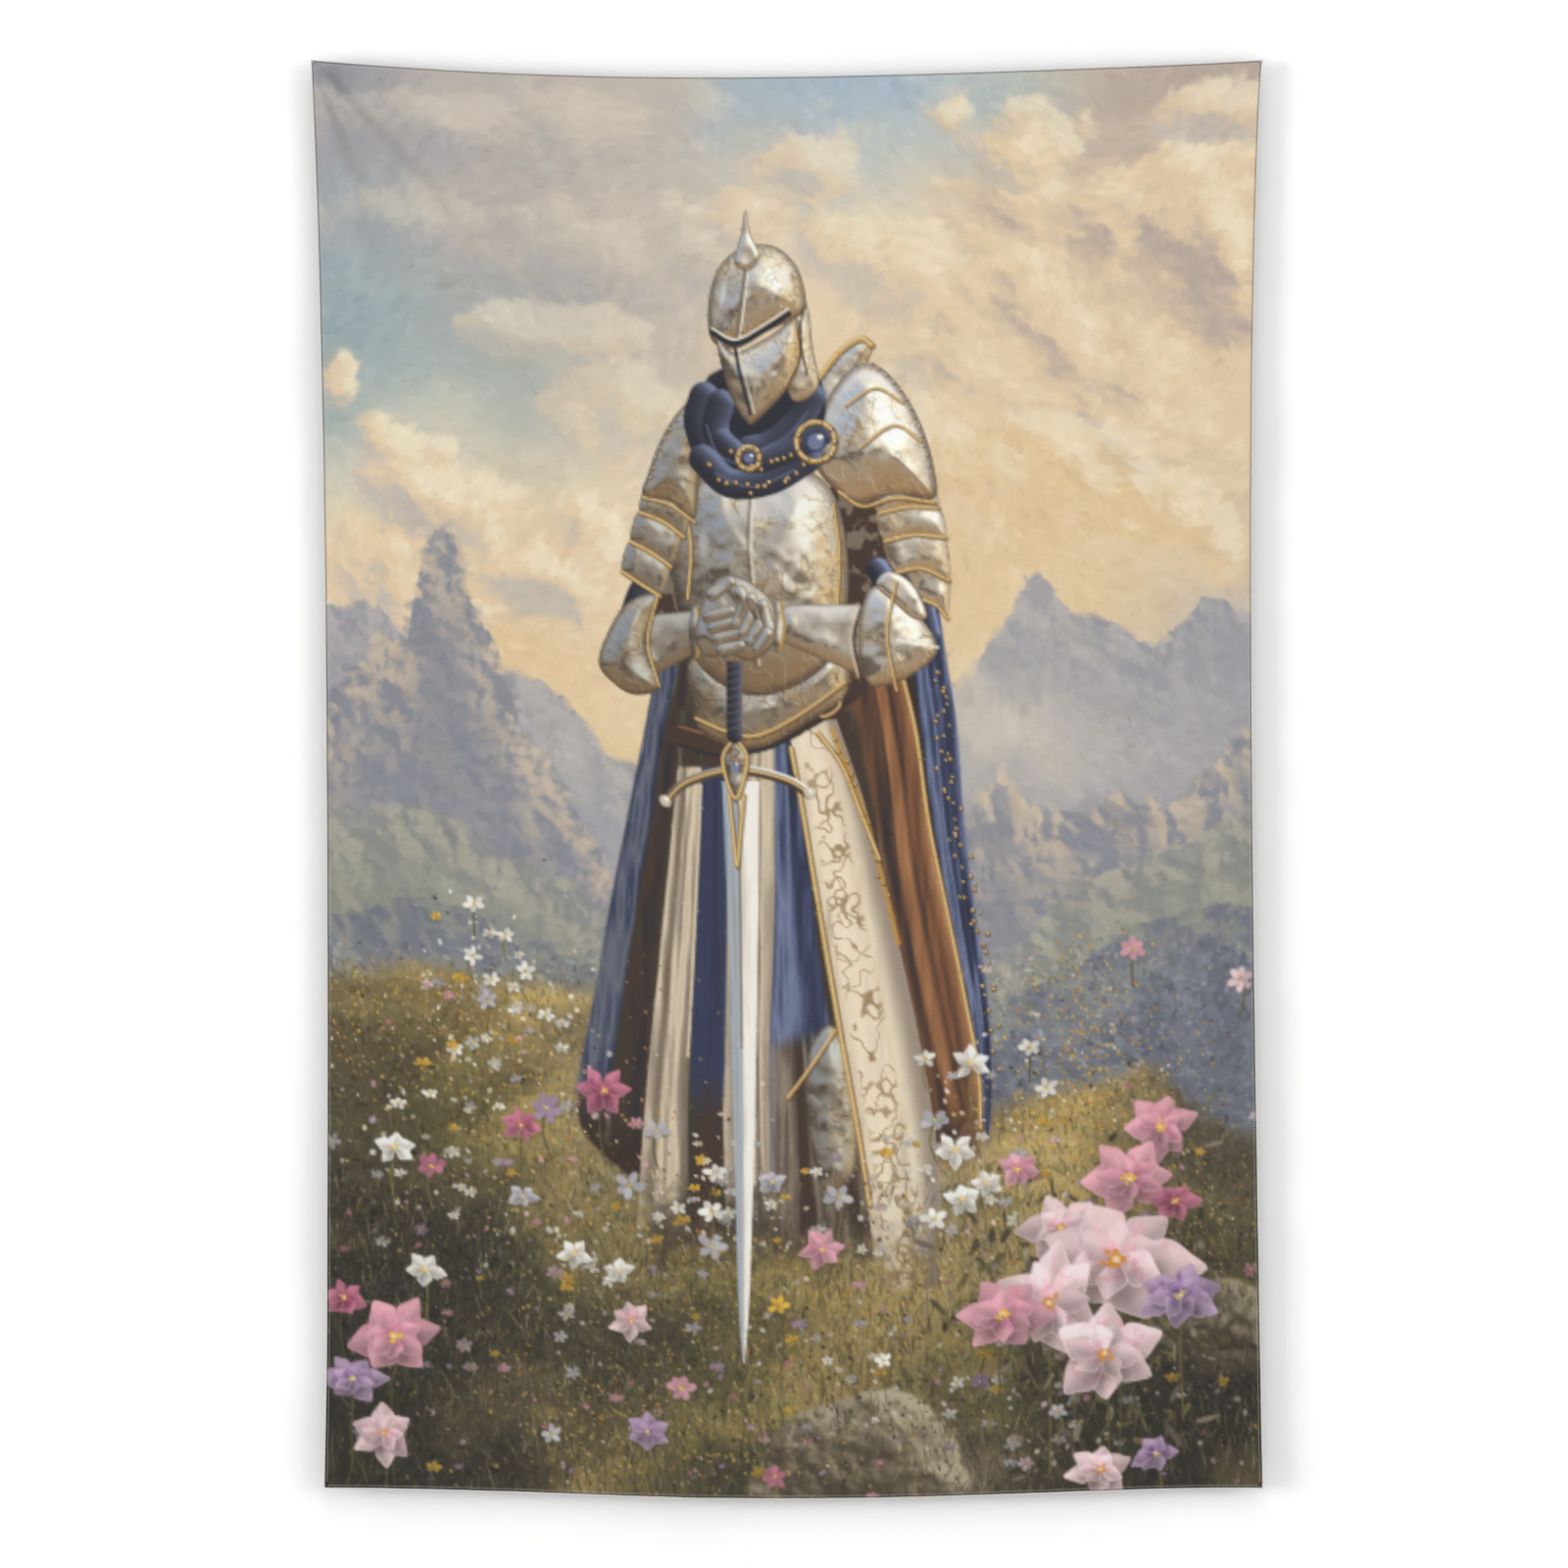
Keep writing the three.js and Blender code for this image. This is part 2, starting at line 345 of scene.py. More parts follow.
def glow():
    """Sunlit air behind the figure and low cloud on the slopes at the right."""
    lights = ((58, 48, 34, 30, 0.2), (72, 70, 9, 8, 0.45), (84, 74, 12, 5, 0.25), (30, 70, 8, 8, 0.2))
    for x, y, wide, high, share in lights:
        near = np.exp(-((ACROSS - x) / wide) ** 2 - ((DOWN - y) / high) ** 2)
        CANVAS[:] = mix(CANVAS, INK["cream"], share * near * (0.8 + 0.4 * noise(5, 64, 4)))


def brushed(count, long, wide, seed, top, bottom, strength, spread=0.02, lean=0.6):
    """Paints over the canvas in short overlapping marks of its own colours."""
    random = np.random.default_rng(seed)
    flow = noise(24, seed + 1, 3) * 1.6
    source = CANVAS.copy()
    xs, ys = random.uniform(0, WIDE, count), random.uniform(top, bottom, count)
    sizes = random.uniform(0.6, 1.4, count)
    tints = random.normal(0, spread, (count, 1)) + random.normal(0, spread / 5, (count, 3))
    turns = random.normal(0, 0.5, count)
    for x, y, size, tint, turn in zip(xs, ys, sizes, tints, turns):
        angle = tone_at(flow, x, y) + lean * turn
        dab(x, y, long * size, wide * size, angle, tone_at(source, x, y) + tint, strength)


def meadow_edge(x):
    """Where the meadow begins, cm down from the top."""
    return 96 + 14 * smooth(x, 22, 62) - 2 * smooth(x, 74, 90) + 6 * smooth(x, 88, 102)


def ground():
    """The meadow's patches of light and dark."""
    depth = DOWN - meadow_edge(ACROSS) - 1.6 * noise(9, 60, 5)
    light = noise(9, 61, 5, 1.6)
    base = from_patches([
        (4, 99, 8, "straw"), (20, 101, 9, "straw"), (10, 109, 10, "leaf"), (40, 110, 12, "taupe"),
        (30, 120, 12, "olive"),
        (60, 114, 14, "taupe"), (88, 110, 9, "straw"), (98, 116, 8, "taupe"), (80, 120, 10, "straw"),
        (96, 128, 10, "leaf"),
        (10, 122, 10, "earth"), (14, 134, 12, "earth"), (30, 136, 9, "olive"), (50, 130, 12, "leaf"),
        (64, 132, 9, "straw"),
        (70, 140, 9, "leaf"), (48, 146, 9, "leaf"), (29, 149, 7, "straw"), (52, 140, 8, "straw"),
        (8, 148, 12, "earth"),
        (62, 150, 10, "taupe"), (94, 144, 12, "earth"), (84, 150, 9, "earth"), (40, 150, 8, "olive")],
        4 * noise(10, 62), 3 * noise(10, 63))
    base = mix(base, INK["earth"], np.clip(0.22 - 0.7 * light, 0, 0.7))
    base = mix(base, INK["straw"], np.clip(0.6 * light, 0, 0.5))
    CANVAS[:] = mix(CANVAS, base, smooth(depth, -1.5, 2.0))


def grass(count, seed, low, high, tall, lights, strength=0.6):
    """Blades that lean and thin towards their tips, further ones first."""
    random = np.random.default_rng(seed)
    ys = np.sort(random.uniform(low, high, count))
    xs = random.uniform(0, WIDE, count)
    patch = noise(7, seed + 1, 4)
    for x, y in zip(xs, ys):
        here = tone_at(patch, x, y)
        near = np.clip((y - 96) / 56, 0.1, 1)
        length = tall * (0.3 + 0.7 * near) * random.uniform(0.5, 1.3)
        lean = random.normal(0, 0.3)
        bright = np.clip(0.4 + 0.5 * here + random.normal(0, 0.28), 0, 1)
        colour = INK[lights[0]] * (1 - bright) + INK[lights[random.integers(1, len(lights))]] * bright
        if y > meadow_edge(x) + length / 2:
            dab(x, y, length, 0.14 + 0.1 * near, -np.pi / 2 + lean, colour, strength, 1.2)


def specks(count, seed, size, colours, gather):
    """Tiny flowers and seed heads, thickest round the places in gather, each (x, y, wide, high)."""
    random = np.random.default_rng(seed)
    for _ in range(count):
        x, y, wide, high = pick(random, gather)
        px, py = random.normal(x, wide), random.normal(y, high)
        colour = INK[pick(random, colours)] * random.uniform(0.82, 1.06)
        long = size * random.uniform(0.4, 1.5)
        wide_mark, turn = long * random.uniform(0.5, 0.9), random.uniform(0, 3)
        dab(px, py, long, wide_mark, turn, np.minimum(colour, 1), 0.85, 1.5)


# ======================================================================
# The armoured figure: a design of our own, with places in cm across and down the cloth
# ======================================================================
# fine patterns that the figure's surfaces share
DENTS = 0.3 * noise(3.4, 201, 3) + 0.1 * noise(1.3, 202, 2)
SCROLL = noise(1.7, 203, 2)
FINE = noise(0.8, 206, 2)
WORN = noise(3.0, 204, 4, 1.0, 0.6)
SPECK = noise(0.9, 205, 2)

# what polished steel mirrors: how far the glint faces right and up, its spread, its share and its colour
GLINTS = [(-0.5, 0.3, 0.09, 0.75, rgb(160, 172, 190)), (0.42, 0.3, 0.13, 0.95, rgb(254, 248, 230)),
          (0.75, -0.15, 0.06, 0.7, rgb(240, 214, 166))]
SHADOWED = rgb(72, 60, 50)
STEEL_CONTRAST, STEEL_MIDDLE, STEEL_LEVEL = 1.3, 0.585, 0.6


def steel_tone(right, up):
    """The colour of polished steel facing right and up by these amounts, under a golden sky."""
    tone = np.empty(right.shape + (3,), np.float32)
    tone[:] = rgb(160, 151, 138)
    tone = mix(tone, rgb(214, 212, 208), 0.9 * smooth(up, -0.1, 0.9))
    tone = mix(tone, rgb(150, 118, 82), 0.7 * smooth(-up, 0.05, 0.9))
    horizon = np.exp(-((up + 0.2) / 0.14) ** 2) * smooth(np.abs(right), 0.02, 0.3)
    tone = mix(tone, rgb(84, 72, 62), 0.7 * horizon)
    for glint_right, glint_up, spread, share, colour in GLINTS:
        near = np.exp(-((right - glint_right) ** 2 + (up - glint_up) ** 2) / spread)
        tone = mix(tone, colour, share * near)
    tone = mix(tone, SHADOWED, 0.45 * smooth(right ** 2 + up ** 2, 0.72, 0.98))
    return np.clip(STEEL_LEVEL + STEEL_CONTRAST * (tone - STEEL_MIDDLE), 0.1, 1)


def patina(tone, area, amount):
    """Engraved scrolls and worn gilding over the steel."""
    scroll = 1 - smooth(np.abs(SCROLL[area]), 0.03, 0.15)
    fine = 1 - smooth(np.abs(FINE[area]), 0.02, 0.16)
    worn = smooth(WORN[area], -0.4, 0.5)
    tone = mix(tone, rgb(206, 170, 108), 0.4 * amount * smooth(WORN[area], 0.1, 0.8))
    tone = mix(tone, rgb(98, 78, 54), 0.5 * amount * fine * worn)
    tone = mix(tone, rgb(122, 92, 56), 0.6 * amount * scroll * worn)
    edge = 1 - smooth(np.abs(np.roll(SCROLL, (-1, 1), (0, 1))[area]), 0.03, 0.12)
    return mix(tone, rgb(255, 248, 226), 0.45 * amount * edge * (1 - scroll))


def steel(points, roundness, worn, smoothed=True, seam=0.25):
    """A plate of armour, with its rim darkened over the width of seam."""
    shape = Shape(points, smoothed, 0.08)
    right, up = shape.normals(roundness, DENTS)
    tone = patina(steel_tone(right, up), shape.area, worn)
    tone = tone * (0.8 + 0.24 * smooth(shape.x - 0.3 * shape.y, 20, 46))[..., None]
    if seam:
        tone = mix(tone, rgb(70, 58, 48), 0.6 * (1 - smooth(shape.depth, 0.0, seam)))
    lay(shape, tone)


def tube(start, end, wide_start, wide_end, worn=0.3):
    """A tapered steel tube with rounded ends."""
    start, end = np.array(start, float), np.array(end, float)
    way = (end - start) / np.linalg.norm(end - start)
    side = np.array([-way[1], way[0]])
    points = []
    for tip, wide, first in ((end, wide_end, -np.pi / 2), (start, wide_start, np.pi / 2)):
        for angle in np.linspace(first, first + np.pi, 7):
            points.append(tip + wide / 2 * (np.cos(angle) * way * 0.8 + np.sin(angle) * side))
    steel(points, min(wide_start, wide_end) / 2, worn, False, 0.2)


def roll(points, width, dark, light, glint=0.5):
    """A rounded roll of cloth or cord along a path, lit from the upper right."""
    path = curve(points, closed=False)
    area = window(path, width)
    nearest, _ = distances(path, area, closed=False)
    height = np.sqrt(np.maximum(1 - (nearest / (width / 2)) ** 2, 0)) * width / 2
    fall_y, fall_x = np.gradient(soften(height, 1), 1 / DOTS)
    steep = np.sqrt(1 + fall_x ** 2 + fall_y ** 2)
    lit = np.clip(0.45 + 0.5 * (-fall_x * 0.7 + fall_y * 0.7) / steep * 1.6, 0, 1)
    tone = dark + (light - dark) * (lit ** 1.6)[..., None]
    tone = mix(tone, np.minimum(light * 1.35, 1), glint * smooth(lit, 0.82, 1.0))
    cover = smooth(width / 2 - nearest, -0.1, 0.15)
    CANVAS[area] = mix(CANVAS[area], tone, cover)


FOLD_SWAY, GRASS_TOP = 0.05, 112


def drape(left, right, ramp, folds, seed, edge=0.15, contrast=1.0, fades=True):
    """Hanging cloth between two side lines, each given from the top down, with folds that follow them.

    The ramp holds its tones from the depth of a fold to its crest. Where it reaches the grass it fades.
    """
    left, right = curve(left, closed=False, steps=4), curve(right, closed=False, steps=4)
    shape = Shape(np.vstack([left, right[::-1]]), False, edge)
    xl = np.interp(shape.y, left[:, 1], left[:, 0])
    xr = np.interp(shape.y, right[:, 1], right[:, 0])
    across = (shape.x - xl) / np.maximum(xr - xl, 0.3)
    random = np.random.default_rng(seed)
    fall = np.zeros_like(across)
    for k in range(1, 4):
        start, length, shift = random.uniform(0, 1), random.uniform(5, 12), random.uniform(0, 6)
        turn = start + FOLD_SWAY * np.sin(shape.y / length + shift)
        fall += np.cos(2 * np.pi * (folds * k * across * random.uniform(0.8, 1.2) + turn)) / k
    streaks = noise(9, seed, 5, 0.09)[shape.area]
    level = np.clip(0.5 + contrast * (0.24 * fall + 0.22 * streaks), 0, 1) * (len(ramp) - 1)
    low = np.minimum(level.astype(int), len(ramp) - 2)
    inks = np.array([INK[c] if isinstance(c, str) else c for c in ramp])
    part = (level - low)[..., None]
    ends = min(left[-1, 1], right[-1, 1])
    fade = 1.0
    if fades and ends > GRASS_TOP:
        fade = 1 - smooth(shape.y + 1.5 * FINE[shape.area], ends - 9, ends - 0.5)
    lay(shape, inks[low] * (1 - part) + inks[low + 1] * part, fade)
    return shape, across


def oval(x, y, wide, high, count):
    """Points round an oval, given by half its width and half its height."""
    turns = np.linspace(0, 2 * np.pi, count + 1)[:-1]
    return [(x + wide * np.cos(turn), y + high * np.sin(turn)) for turn in turns]


def studs(points, count, size, colour, seed, jitter):
    """Small raised dots of metal spaced along a path."""
    random = np.random.default_rng(seed)
    path = curve(points, closed=False)
    steps = np.linalg.norm(np.diff(path, axis=0), axis=1)
    gone = np.concatenate([[0], np.cumsum(steps)])
    for place in np.linspace(0, gone[-1], count):
        x = np.interp(place, gone, path[:, 0]) + random.normal(0, jitter)
        y = np.interp(place, gone, path[:, 1]) + random.normal(0, jitter)
        dab(x + 0.06, y + 0.08, size * 1.5, size * 1.4, 0, INK["umber"], 0.7)
        dab(x, y, size, size, 0, INK[colour], 0.95)
        dab(x + 0.1 * size, y - 0.15 * size, size * 0.45, size * 0.4, 0, INK["white"], 0.9)


def gilt(points, width):
    """A worn gold edging along a path."""
    ribbon([(x + 0.1, y + 0.12) for x, y in points], width * 1.3, INK["umber"], 0.6)
    ribbon(points, width, INK["brass"], 0.95)
    ribbon([(x - 0.02, y - 0.18 * width) for x, y in points], width * 0.4, INK["cream"], 0.75)


def cloak():
    """The cloak behind the figure: blue outside, brown inside."""
    for points in ([(38, 60), (33, 80), (29, 102), (28.4, 114), (42, 118), (44, 80), (44, 62)],
                   [(54, 58), (56, 80), (60, 112), (70, 112), (68.4, 88), (65.8, 70), (63, 56)]):
        shape = Shape(points, True, 0.3)
        lay(shape, INK["umber"] * 0.8)
    inner = [(42, 60), (41.5, 75), (41, 90), (40.4, 105), (40, 122)]
    drape([(37, 60), (35.4, 68), (33.4, 78), (31.3, 88), (29.6, 97), (27.8, 106), (25.6, 114)], inner,
          ["night", "navy", "dusk", "navy", "slate"], 1.6, 101)
    drape([(39, 62), (37.2, 70), (35.6, 80), (33.8, 90), (32.2, 100), (31, 108), (29.6, 118)], inner,
          ["night", "umber", "earth", "taupe"], 1.5, 102, 0.4)
    drape([(54, 64), (56, 74), (58, 85), (60, 96), (62, 106), (64, 116), (64, 122)],
          [(62.5, 58), (64, 70), (65, 82), (67, 92), (69, 102), (71, 112), (71, 119)],
          ["night", "umber", "rust", "umber"], 1.6, 103)
    drape([(60.0, 64), (61.6, 74), (62.6, 84), (64, 93), (66, 103), (68.4, 113), (69.4, 118)],
          [(63, 62), (65.2, 74), (66.6, 84), (68.3, 92), (70.2, 102), (71.6, 112), (71.6, 117)],
          ["umber", "rust", rgb(146, 98, 62), rgb(184, 134, 88)], 1.4, 104)
    drape([(62.6, 54), (64.2, 62), (65.4, 72), (66.8, 83), (68.5, 92), (70.4, 102), (71.6, 112)],
          [(66.6, 52), (68, 62), (69.2, 70), (69.9, 80), (70.8, 88), (72.2, 98), (72.8, 107), (72.2, 115)],
          ["night", "navy", "sky_blue", "navy"], 1.2, 105)
    gilt([(62.6, 62), (64.6, 70), (66, 80), (67.8, 89), (69.6, 98), (71.2, 107), (71.4, 113)], 0.45)
    border = [(66.8, 60), (68, 70), (69, 80), (70.4, 88), (72.2, 96), (72.9, 104)]
    studs(border, 40, 0.45, "brass", 7, 0.6)
    studs(border, 30, 0.35, "straw", 8, 0.5)


def lay_band(shape, colour, share):
    """Tints the part of a shape that share picks out, from 0 to 1."""
    CANVAS[shape.area] = mix(CANVAS[shape.area], colour, share * shape.cover)


def filigree(shape, across, low, high, colour):
    """Fine embroidered scrolls over a band of a hanging cloth."""
    band = smooth(across, low, low + 0.08) * (1 - smooth(across, high - 0.08, high))
    line = 1 - smooth(np.abs(SCROLL[shape.area]), 0.02, 0.15)
    vine = 1 - smooth(np.abs(np.roll(DENTS, (9, 0), (0, 1))[shape.area]), 0.01, 0.05)
    line = np.maximum(line, 0.8 * vine)
    lay_band(shape, colour, 0.7 * line * band)


def skirt():
    """The long cloths below the belt, from the ones behind to the embroidered one in front."""
    drape([(39, 68), (38, 90), (36.4, 110), (35, 130)], [(58, 68), (62, 90), (65, 110), (65, 132)],
          ["umber", "umber", "earth", "taupe"], 3.0, 110, 0.5)
    drape([(43.4, 72), (43.4, 95), (43.3, 110), (43.6, 125)],
          [(50.4, 72), (50, 90), (49.6, 105), (49.8, 125)],
          ["taupe", rgb(176, 160, 140), "ivory", rgb(120, 104, 88)], 1.8, 112)
    drape([(38.6, 74), (37.6, 84), (36.4, 95), (35.3, 105), (34.4, 115), (33.6, 126)],
          [(41.8, 74), (40.9, 84), (40.3, 95), (39.7, 105), (39.3, 115), (39, 126)],
          [rgb(120, 104, 84), "taupe", "ivory", rgb(200, 182, 156)], 1.3, 111)
    drape([(41.2, 74), (40.9, 84), (40.3, 95), (39.8, 105), (39.6, 114)],
          [(43.8, 74), (43.9, 84), (43.8, 95), (43.6, 105), (43.4, 117)], ["night", "navy", "navy", "dusk"],
          0.9, 113)
    ribbon([(41.1, 76), (40.7, 84), (40.1, 95), (39.5, 105)], 0.35, INK["ivory"], 0.9)
    drape([(49.2, 70), (49.2, 84), (48.9, 95), (48.4, 105), (48.4, 118)],
          [(52, 70), (52.9, 84), (54, 95), (55.4, 104), (57, 112)], ["night", "navy", "sky_blue", "navy"],
          1.0, 114)
    drape([(48.6, 104), (48.4, 112), (48.4, 128)], [(56, 102), (58, 114), (60, 128)],
          ["earth", "umber", "taupe", "earth"], 2.0, 115, 1.2)
    steel([(52.6, 105), (55, 101.6), (57, 105), (58, 112), (57.4, 118), (54, 119), (52.6, 112)], 2.6, 0.9)
    gilt([(50.4, 109.4), (53, 106), (55.6, 102.2)], 0.4)
    shape, across = drape([(50.6, 69), (51.8, 76), (53.1, 85), (54.6, 95), (56.4, 105), (57.8, 113),
                           (59, 121), (60, 130)],
                          [(56, 69), (59, 78), (61.4, 88), (63.7, 98), (65.6, 108), (66.8, 118),
                           (66.4, 130)], ["taupe", "ivory", "cream", "ivory"], 0.8, 116, 0.15, 0.8)
    shade = smooth(across, 0.62, 0.95)
    lay_band(shape, rgb(132, 116, 104), 0.75 * shade)
    glow_band = smooth(across, 0.1, 0.2) * (1 - smooth(across, 0.5, 0.64))
    lay_band(shape, rgb(252, 238, 212), 0.55 * glow_band)
    filigree(shape, across, 0.12, 0.66, rgb(132, 98, 58))
    gilt([(51, 72), (52.1, 78), (53.4, 86), (54.9, 95), (56.6, 105), (58, 113), (59.2, 121)], 0.5)
    ribbon([(55.5, 70), (59, 79), (61.4, 88), (62.6, 93)], 0.5, INK["brass"], 0.85)
    studs([(56, 71), (59, 79), (61.4, 88)], 14, 0.4, "brass", 9, 0.2)


def belt():
    """A slanting leather belt with a hanging strap."""
    ribbon([(38.8, 70.6), (43, 71.6), (48, 71), (53, 68.6), (57.6, 65.8)], 2.5, INK["umber"])
    ribbon([(38.8, 69.7), (43, 70.6), (48, 70), (53, 67.6), (57.6, 64.8)], 0.3, rgb(150, 106, 72), 0.8)
    ribbon([(38.8, 71.7), (43, 72.7), (48, 72.1), (53, 69.7), (57.6, 66.9)], 0.3, INK["night"], 0.8)
    studs([(47.4, 71), (50, 70.2), (53, 68.6)], 7, 0.5, "haze", 10, 0.2)
    gilt([(54, 70.4), (56.6, 74), (58.6, 79), (60.6, 84)], 0.45)
    gilt([(53.4, 66.2), (55.6, 65.2), (56.4, 67.4), (54.4, 68.6), (53.4, 66.2)], 0.35)


def body_armour():
    """The breastplate and the plates below it."""
    # dark quilting and mail where the arms leave the body
    for points in ([(55.5, 44), (60, 45), (62.6, 52), (63.4, 60), (58, 61), (55.5, 54)],
                   [(39.5, 45), (36.4, 50), (33.6, 57), (36, 60), (40.5, 58)]):
        shape = Shape(points, True, 0.2)
        mail = 0.7 * smooth(SPECK[shape.area], 0.1, 0.6)
        lay(shape, mix(np.broadcast_to(INK["umber"], shape.x.shape + (3,)), INK["taupe"], mail))
    roll([(60.6, 53), (62.6, 56), (63.6, 60)], 2.6, INK["night"], INK["sky_blue"])
    roll([(63.4, 53.6), (65.4, 56), (66.4, 60)], 2.2, INK["night"], INK["sky_blue"])
    roll([(37.2, 52.6), (34.8, 55), (33.6, 58)], 2.6, INK["night"], INK["dusk"])
    steel([(40.6, 62), (47, 64), (56, 61), (57.2, 66), (52.6, 69.4), (47, 72), (41.4, 70.4), (39.8, 66)],
          4.5, 0.9)
    gilt([(40.6, 68.8), (44, 70.2), (47.4, 70.6), (52, 68.4), (57, 65)], 0.35)
    # breastplate: a barrel with a keel down the middle
    steel([(39.6, 45), (43, 42), (47.5, 43), (52, 42), (55.6, 44.4), (57.2, 50), (57.2, 57), (54.6, 63.4),
           (47.5, 66.4), (41.4, 63.6), (38.8, 57.6), (38.2, 51)], 8.5, 0.75)
    ribbon([(47.2, 44), (46.8, 50), (47.2, 56), (47.6, 63)], 0.35, INK["keen"], 0.55)
    ribbon([(46.8, 44), (46.4, 50), (46.8, 56), (47.2, 63)], 0.35, rgb(84, 70, 56), 0.5)
    dab(52.6, 49.6, 4.6, 2.6, 1.1, INK["gleam"], 0.75, 1.2)
    dab(41.6, 50, 4.2, 1.4, 1.6, rgb(214, 220, 228), 0.5, 1.0)
    gilt([(39.8, 46.6), (40.2, 51), (39.8, 56)], 0.35)
    gilt([(55.8, 46), (56.4, 51), (56.2, 56.6)], 0.35)


def lames(bands):
    """Overlapping shoulder plates, drawn from the lowest up, each with a gold lower edge."""
    for upper, lower in reversed(bands):
        steel(upper + lower[::-1], 1.6, 0.6, True, 0.15)
        gilt(lower, 0.38)


def shoulders():
    """The plates over both shoulders and upper arms."""
    lames([
        ([(60.2, 44.6), (63.6, 43.8), (66.6, 44.2)], [(60.8, 47), (64, 46.4), (67.2, 46.6)]),
        ([(60.6, 46.6), (64, 46), (67.2, 46.2)], [(61.4, 50), (64.6, 49.4), (68, 49.8)]),
        ([(61.2, 49.6), (64.6, 49), (67.8, 49.4)], [(62.6, 53.4), (65.4, 53), (68.4, 54.4)]),
        ([(63.4, 52.4), (66, 52.2), (68.4, 53.4)], [(65.6, 56.4), (67, 57), (68.2, 58.4)]),
    ])
    # the large shoulder plate and its flared collar
    steel([(52, 36.6), (54, 32.8), (56.6, 29.6), (58.8, 28.3), (60.2, 29), (59, 32), (56.6, 35.4),
           (54, 38.8)], 1.6, 0.9)
    gilt([(52.2, 36), (54.2, 32.6), (56.6, 29.6), (58.8, 28.3), (60, 29)], 0.6)
    steel([(53.8, 39), (54.8, 35.4), (57.4, 31.8), (60.2, 31), (63, 33.4), (65.4, 37.6), (66.8, 42.2),
           (66.8, 45.6), (62.6, 45), (58.6, 46), (56.2, 44.6), (54, 42)], 6.2, 0.8)
    gilt([(57.2, 35.4), (60.4, 33.6), (63.4, 35.2)], 0.28)
    gilt([(58.6, 40), (62.4, 37.6), (65.4, 39.4)], 0.28)
    gilt([(56.4, 44.6), (59, 46.2), (62.6, 45.4), (66.8, 46)], 0.35)
    studs([(60, 30.8), (62.8, 33.6), (65, 37.4), (66.3, 42)], 13, 0.32, "haze", 11, 0.05)
    lames([
        ([(35.6, 43.6), (38, 44.4), (40.2, 46)], [(34.6, 46.8), (37.2, 47.8), (39.4, 49.4)]),
        ([(34.6, 46.6), (37.2, 47.6), (39.2, 49)], [(33.6, 50), (36, 51.2), (38, 52.6)]),
        ([(33.6, 49.8), (36, 51), (38, 52.4)], [(32.6, 53.2), (34.8, 54.6), (36.8, 55.8)]),
    ])
    steel([(40.6, 34.6), (38.6, 36.4), (36.8, 39.4), (35.6, 42.6), (35, 45), (38, 45.6), (40.6, 47.4),
           (41.2, 43), (42, 39), (42, 35.6)], 3.6, 0.8)
    gilt([(35, 45.2), (38, 46), (40.6, 47.8)], 0.32)
    studs([(40, 35.2), (37.4, 38.8), (35.8, 43)], 9, 0.3, "haze", 12, 0.05)


def forearms():
    """Both forearms with their elbow plates and cuffs."""
    tube((61, 60.8), (51, 58.7), 8.4, 4.3)
    ribbon([(58.9, 56.6), (58, 60.4), (58.8, 64.6)], 0.4, INK["umber"], 0.8)
    ribbon([(58.5, 56.8), (57.6, 60.4), (58.4, 64.4)], 0.3, INK["ivory"], 0.7)
    steel([(59.2, 56), (60.8, 54.6), (63, 55), (65.2, 58), (67.2, 61.6), (65, 64), (61.8, 65.4), (59.4, 65),
           (58.4, 61)], 3.4, 0.7)
    steel([(60.4, 54.6), (61.8, 53.2), (64.4, 54.6), (66, 58), (64.6, 58.4), (62.2, 56.4)], 1.0, 0.5)
    gilt([(62.6, 54.4), (61.6, 60), (62.6, 66)], 0.3)
    ribbon([(62.8, 60.6), (65, 61), (67.2, 61.5)], 0.3, INK["gleam"], 0.8)
    tube((34.2, 61.4), (40.6, 59.4), 7.0, 4.4)
    steel([(36.4, 55.8), (33.4, 56.4), (31.2, 59.4), (30, 63), (31.6, 65.2), (34, 66.4), (36.6, 65.4),
           (35.2, 61)], 3.2, 0.7)
    gilt([(36.5, 55.8), (35.4, 60.6), (36.6, 65.4)], 0.3)
    for x, y in ((49.7, 58.9), (40.6, 59.6)):
        steel(oval(x, y, 0.7, 2.9, 8), 0.7, 0.2)
        ribbon([(x + 0.2, y - 2.6), (x + 0.7, y), (x + 0.2, y + 2.6)], 0.3, INK["brass"], 0.8)


def gauntlets():
    """Two folded hands in jointed steel."""
    steel([(40.8, 58.4), (42, 55), (44.4, 53.4), (47.4, 54.6), (49.4, 57), (49.2, 60.6), (47, 62.6),
           (44.4, 62), (42, 62.2), (40.6, 60.6)], 2.2, 0.3, True, 0.3)
    for k in range(4):
        tube((41.9 + 0.5 * k, 58.0 + 1.15 * k), (44.6 + 0.35 * k, 57.2 + 1.25 * k), 1.35, 1.2, 0.1)
    for k in range(4):
        tube((44.2 + 1.25 * k, 54.3 + 0.75 * k), (45.9 + 0.95 * k, 56.6 + 0.85 * k), 1.35, 1.25, 0.1)
        tube((45.9 + 0.9 * k, 56.8 + 0.9 * k), (44.9 + 0.8 * k, 58.9 + 0.85 * k), 1.2, 1.05, 0.1)
    tube((42.4, 55.6), (44.6, 54.1), 1.5, 1.3, 0.1)


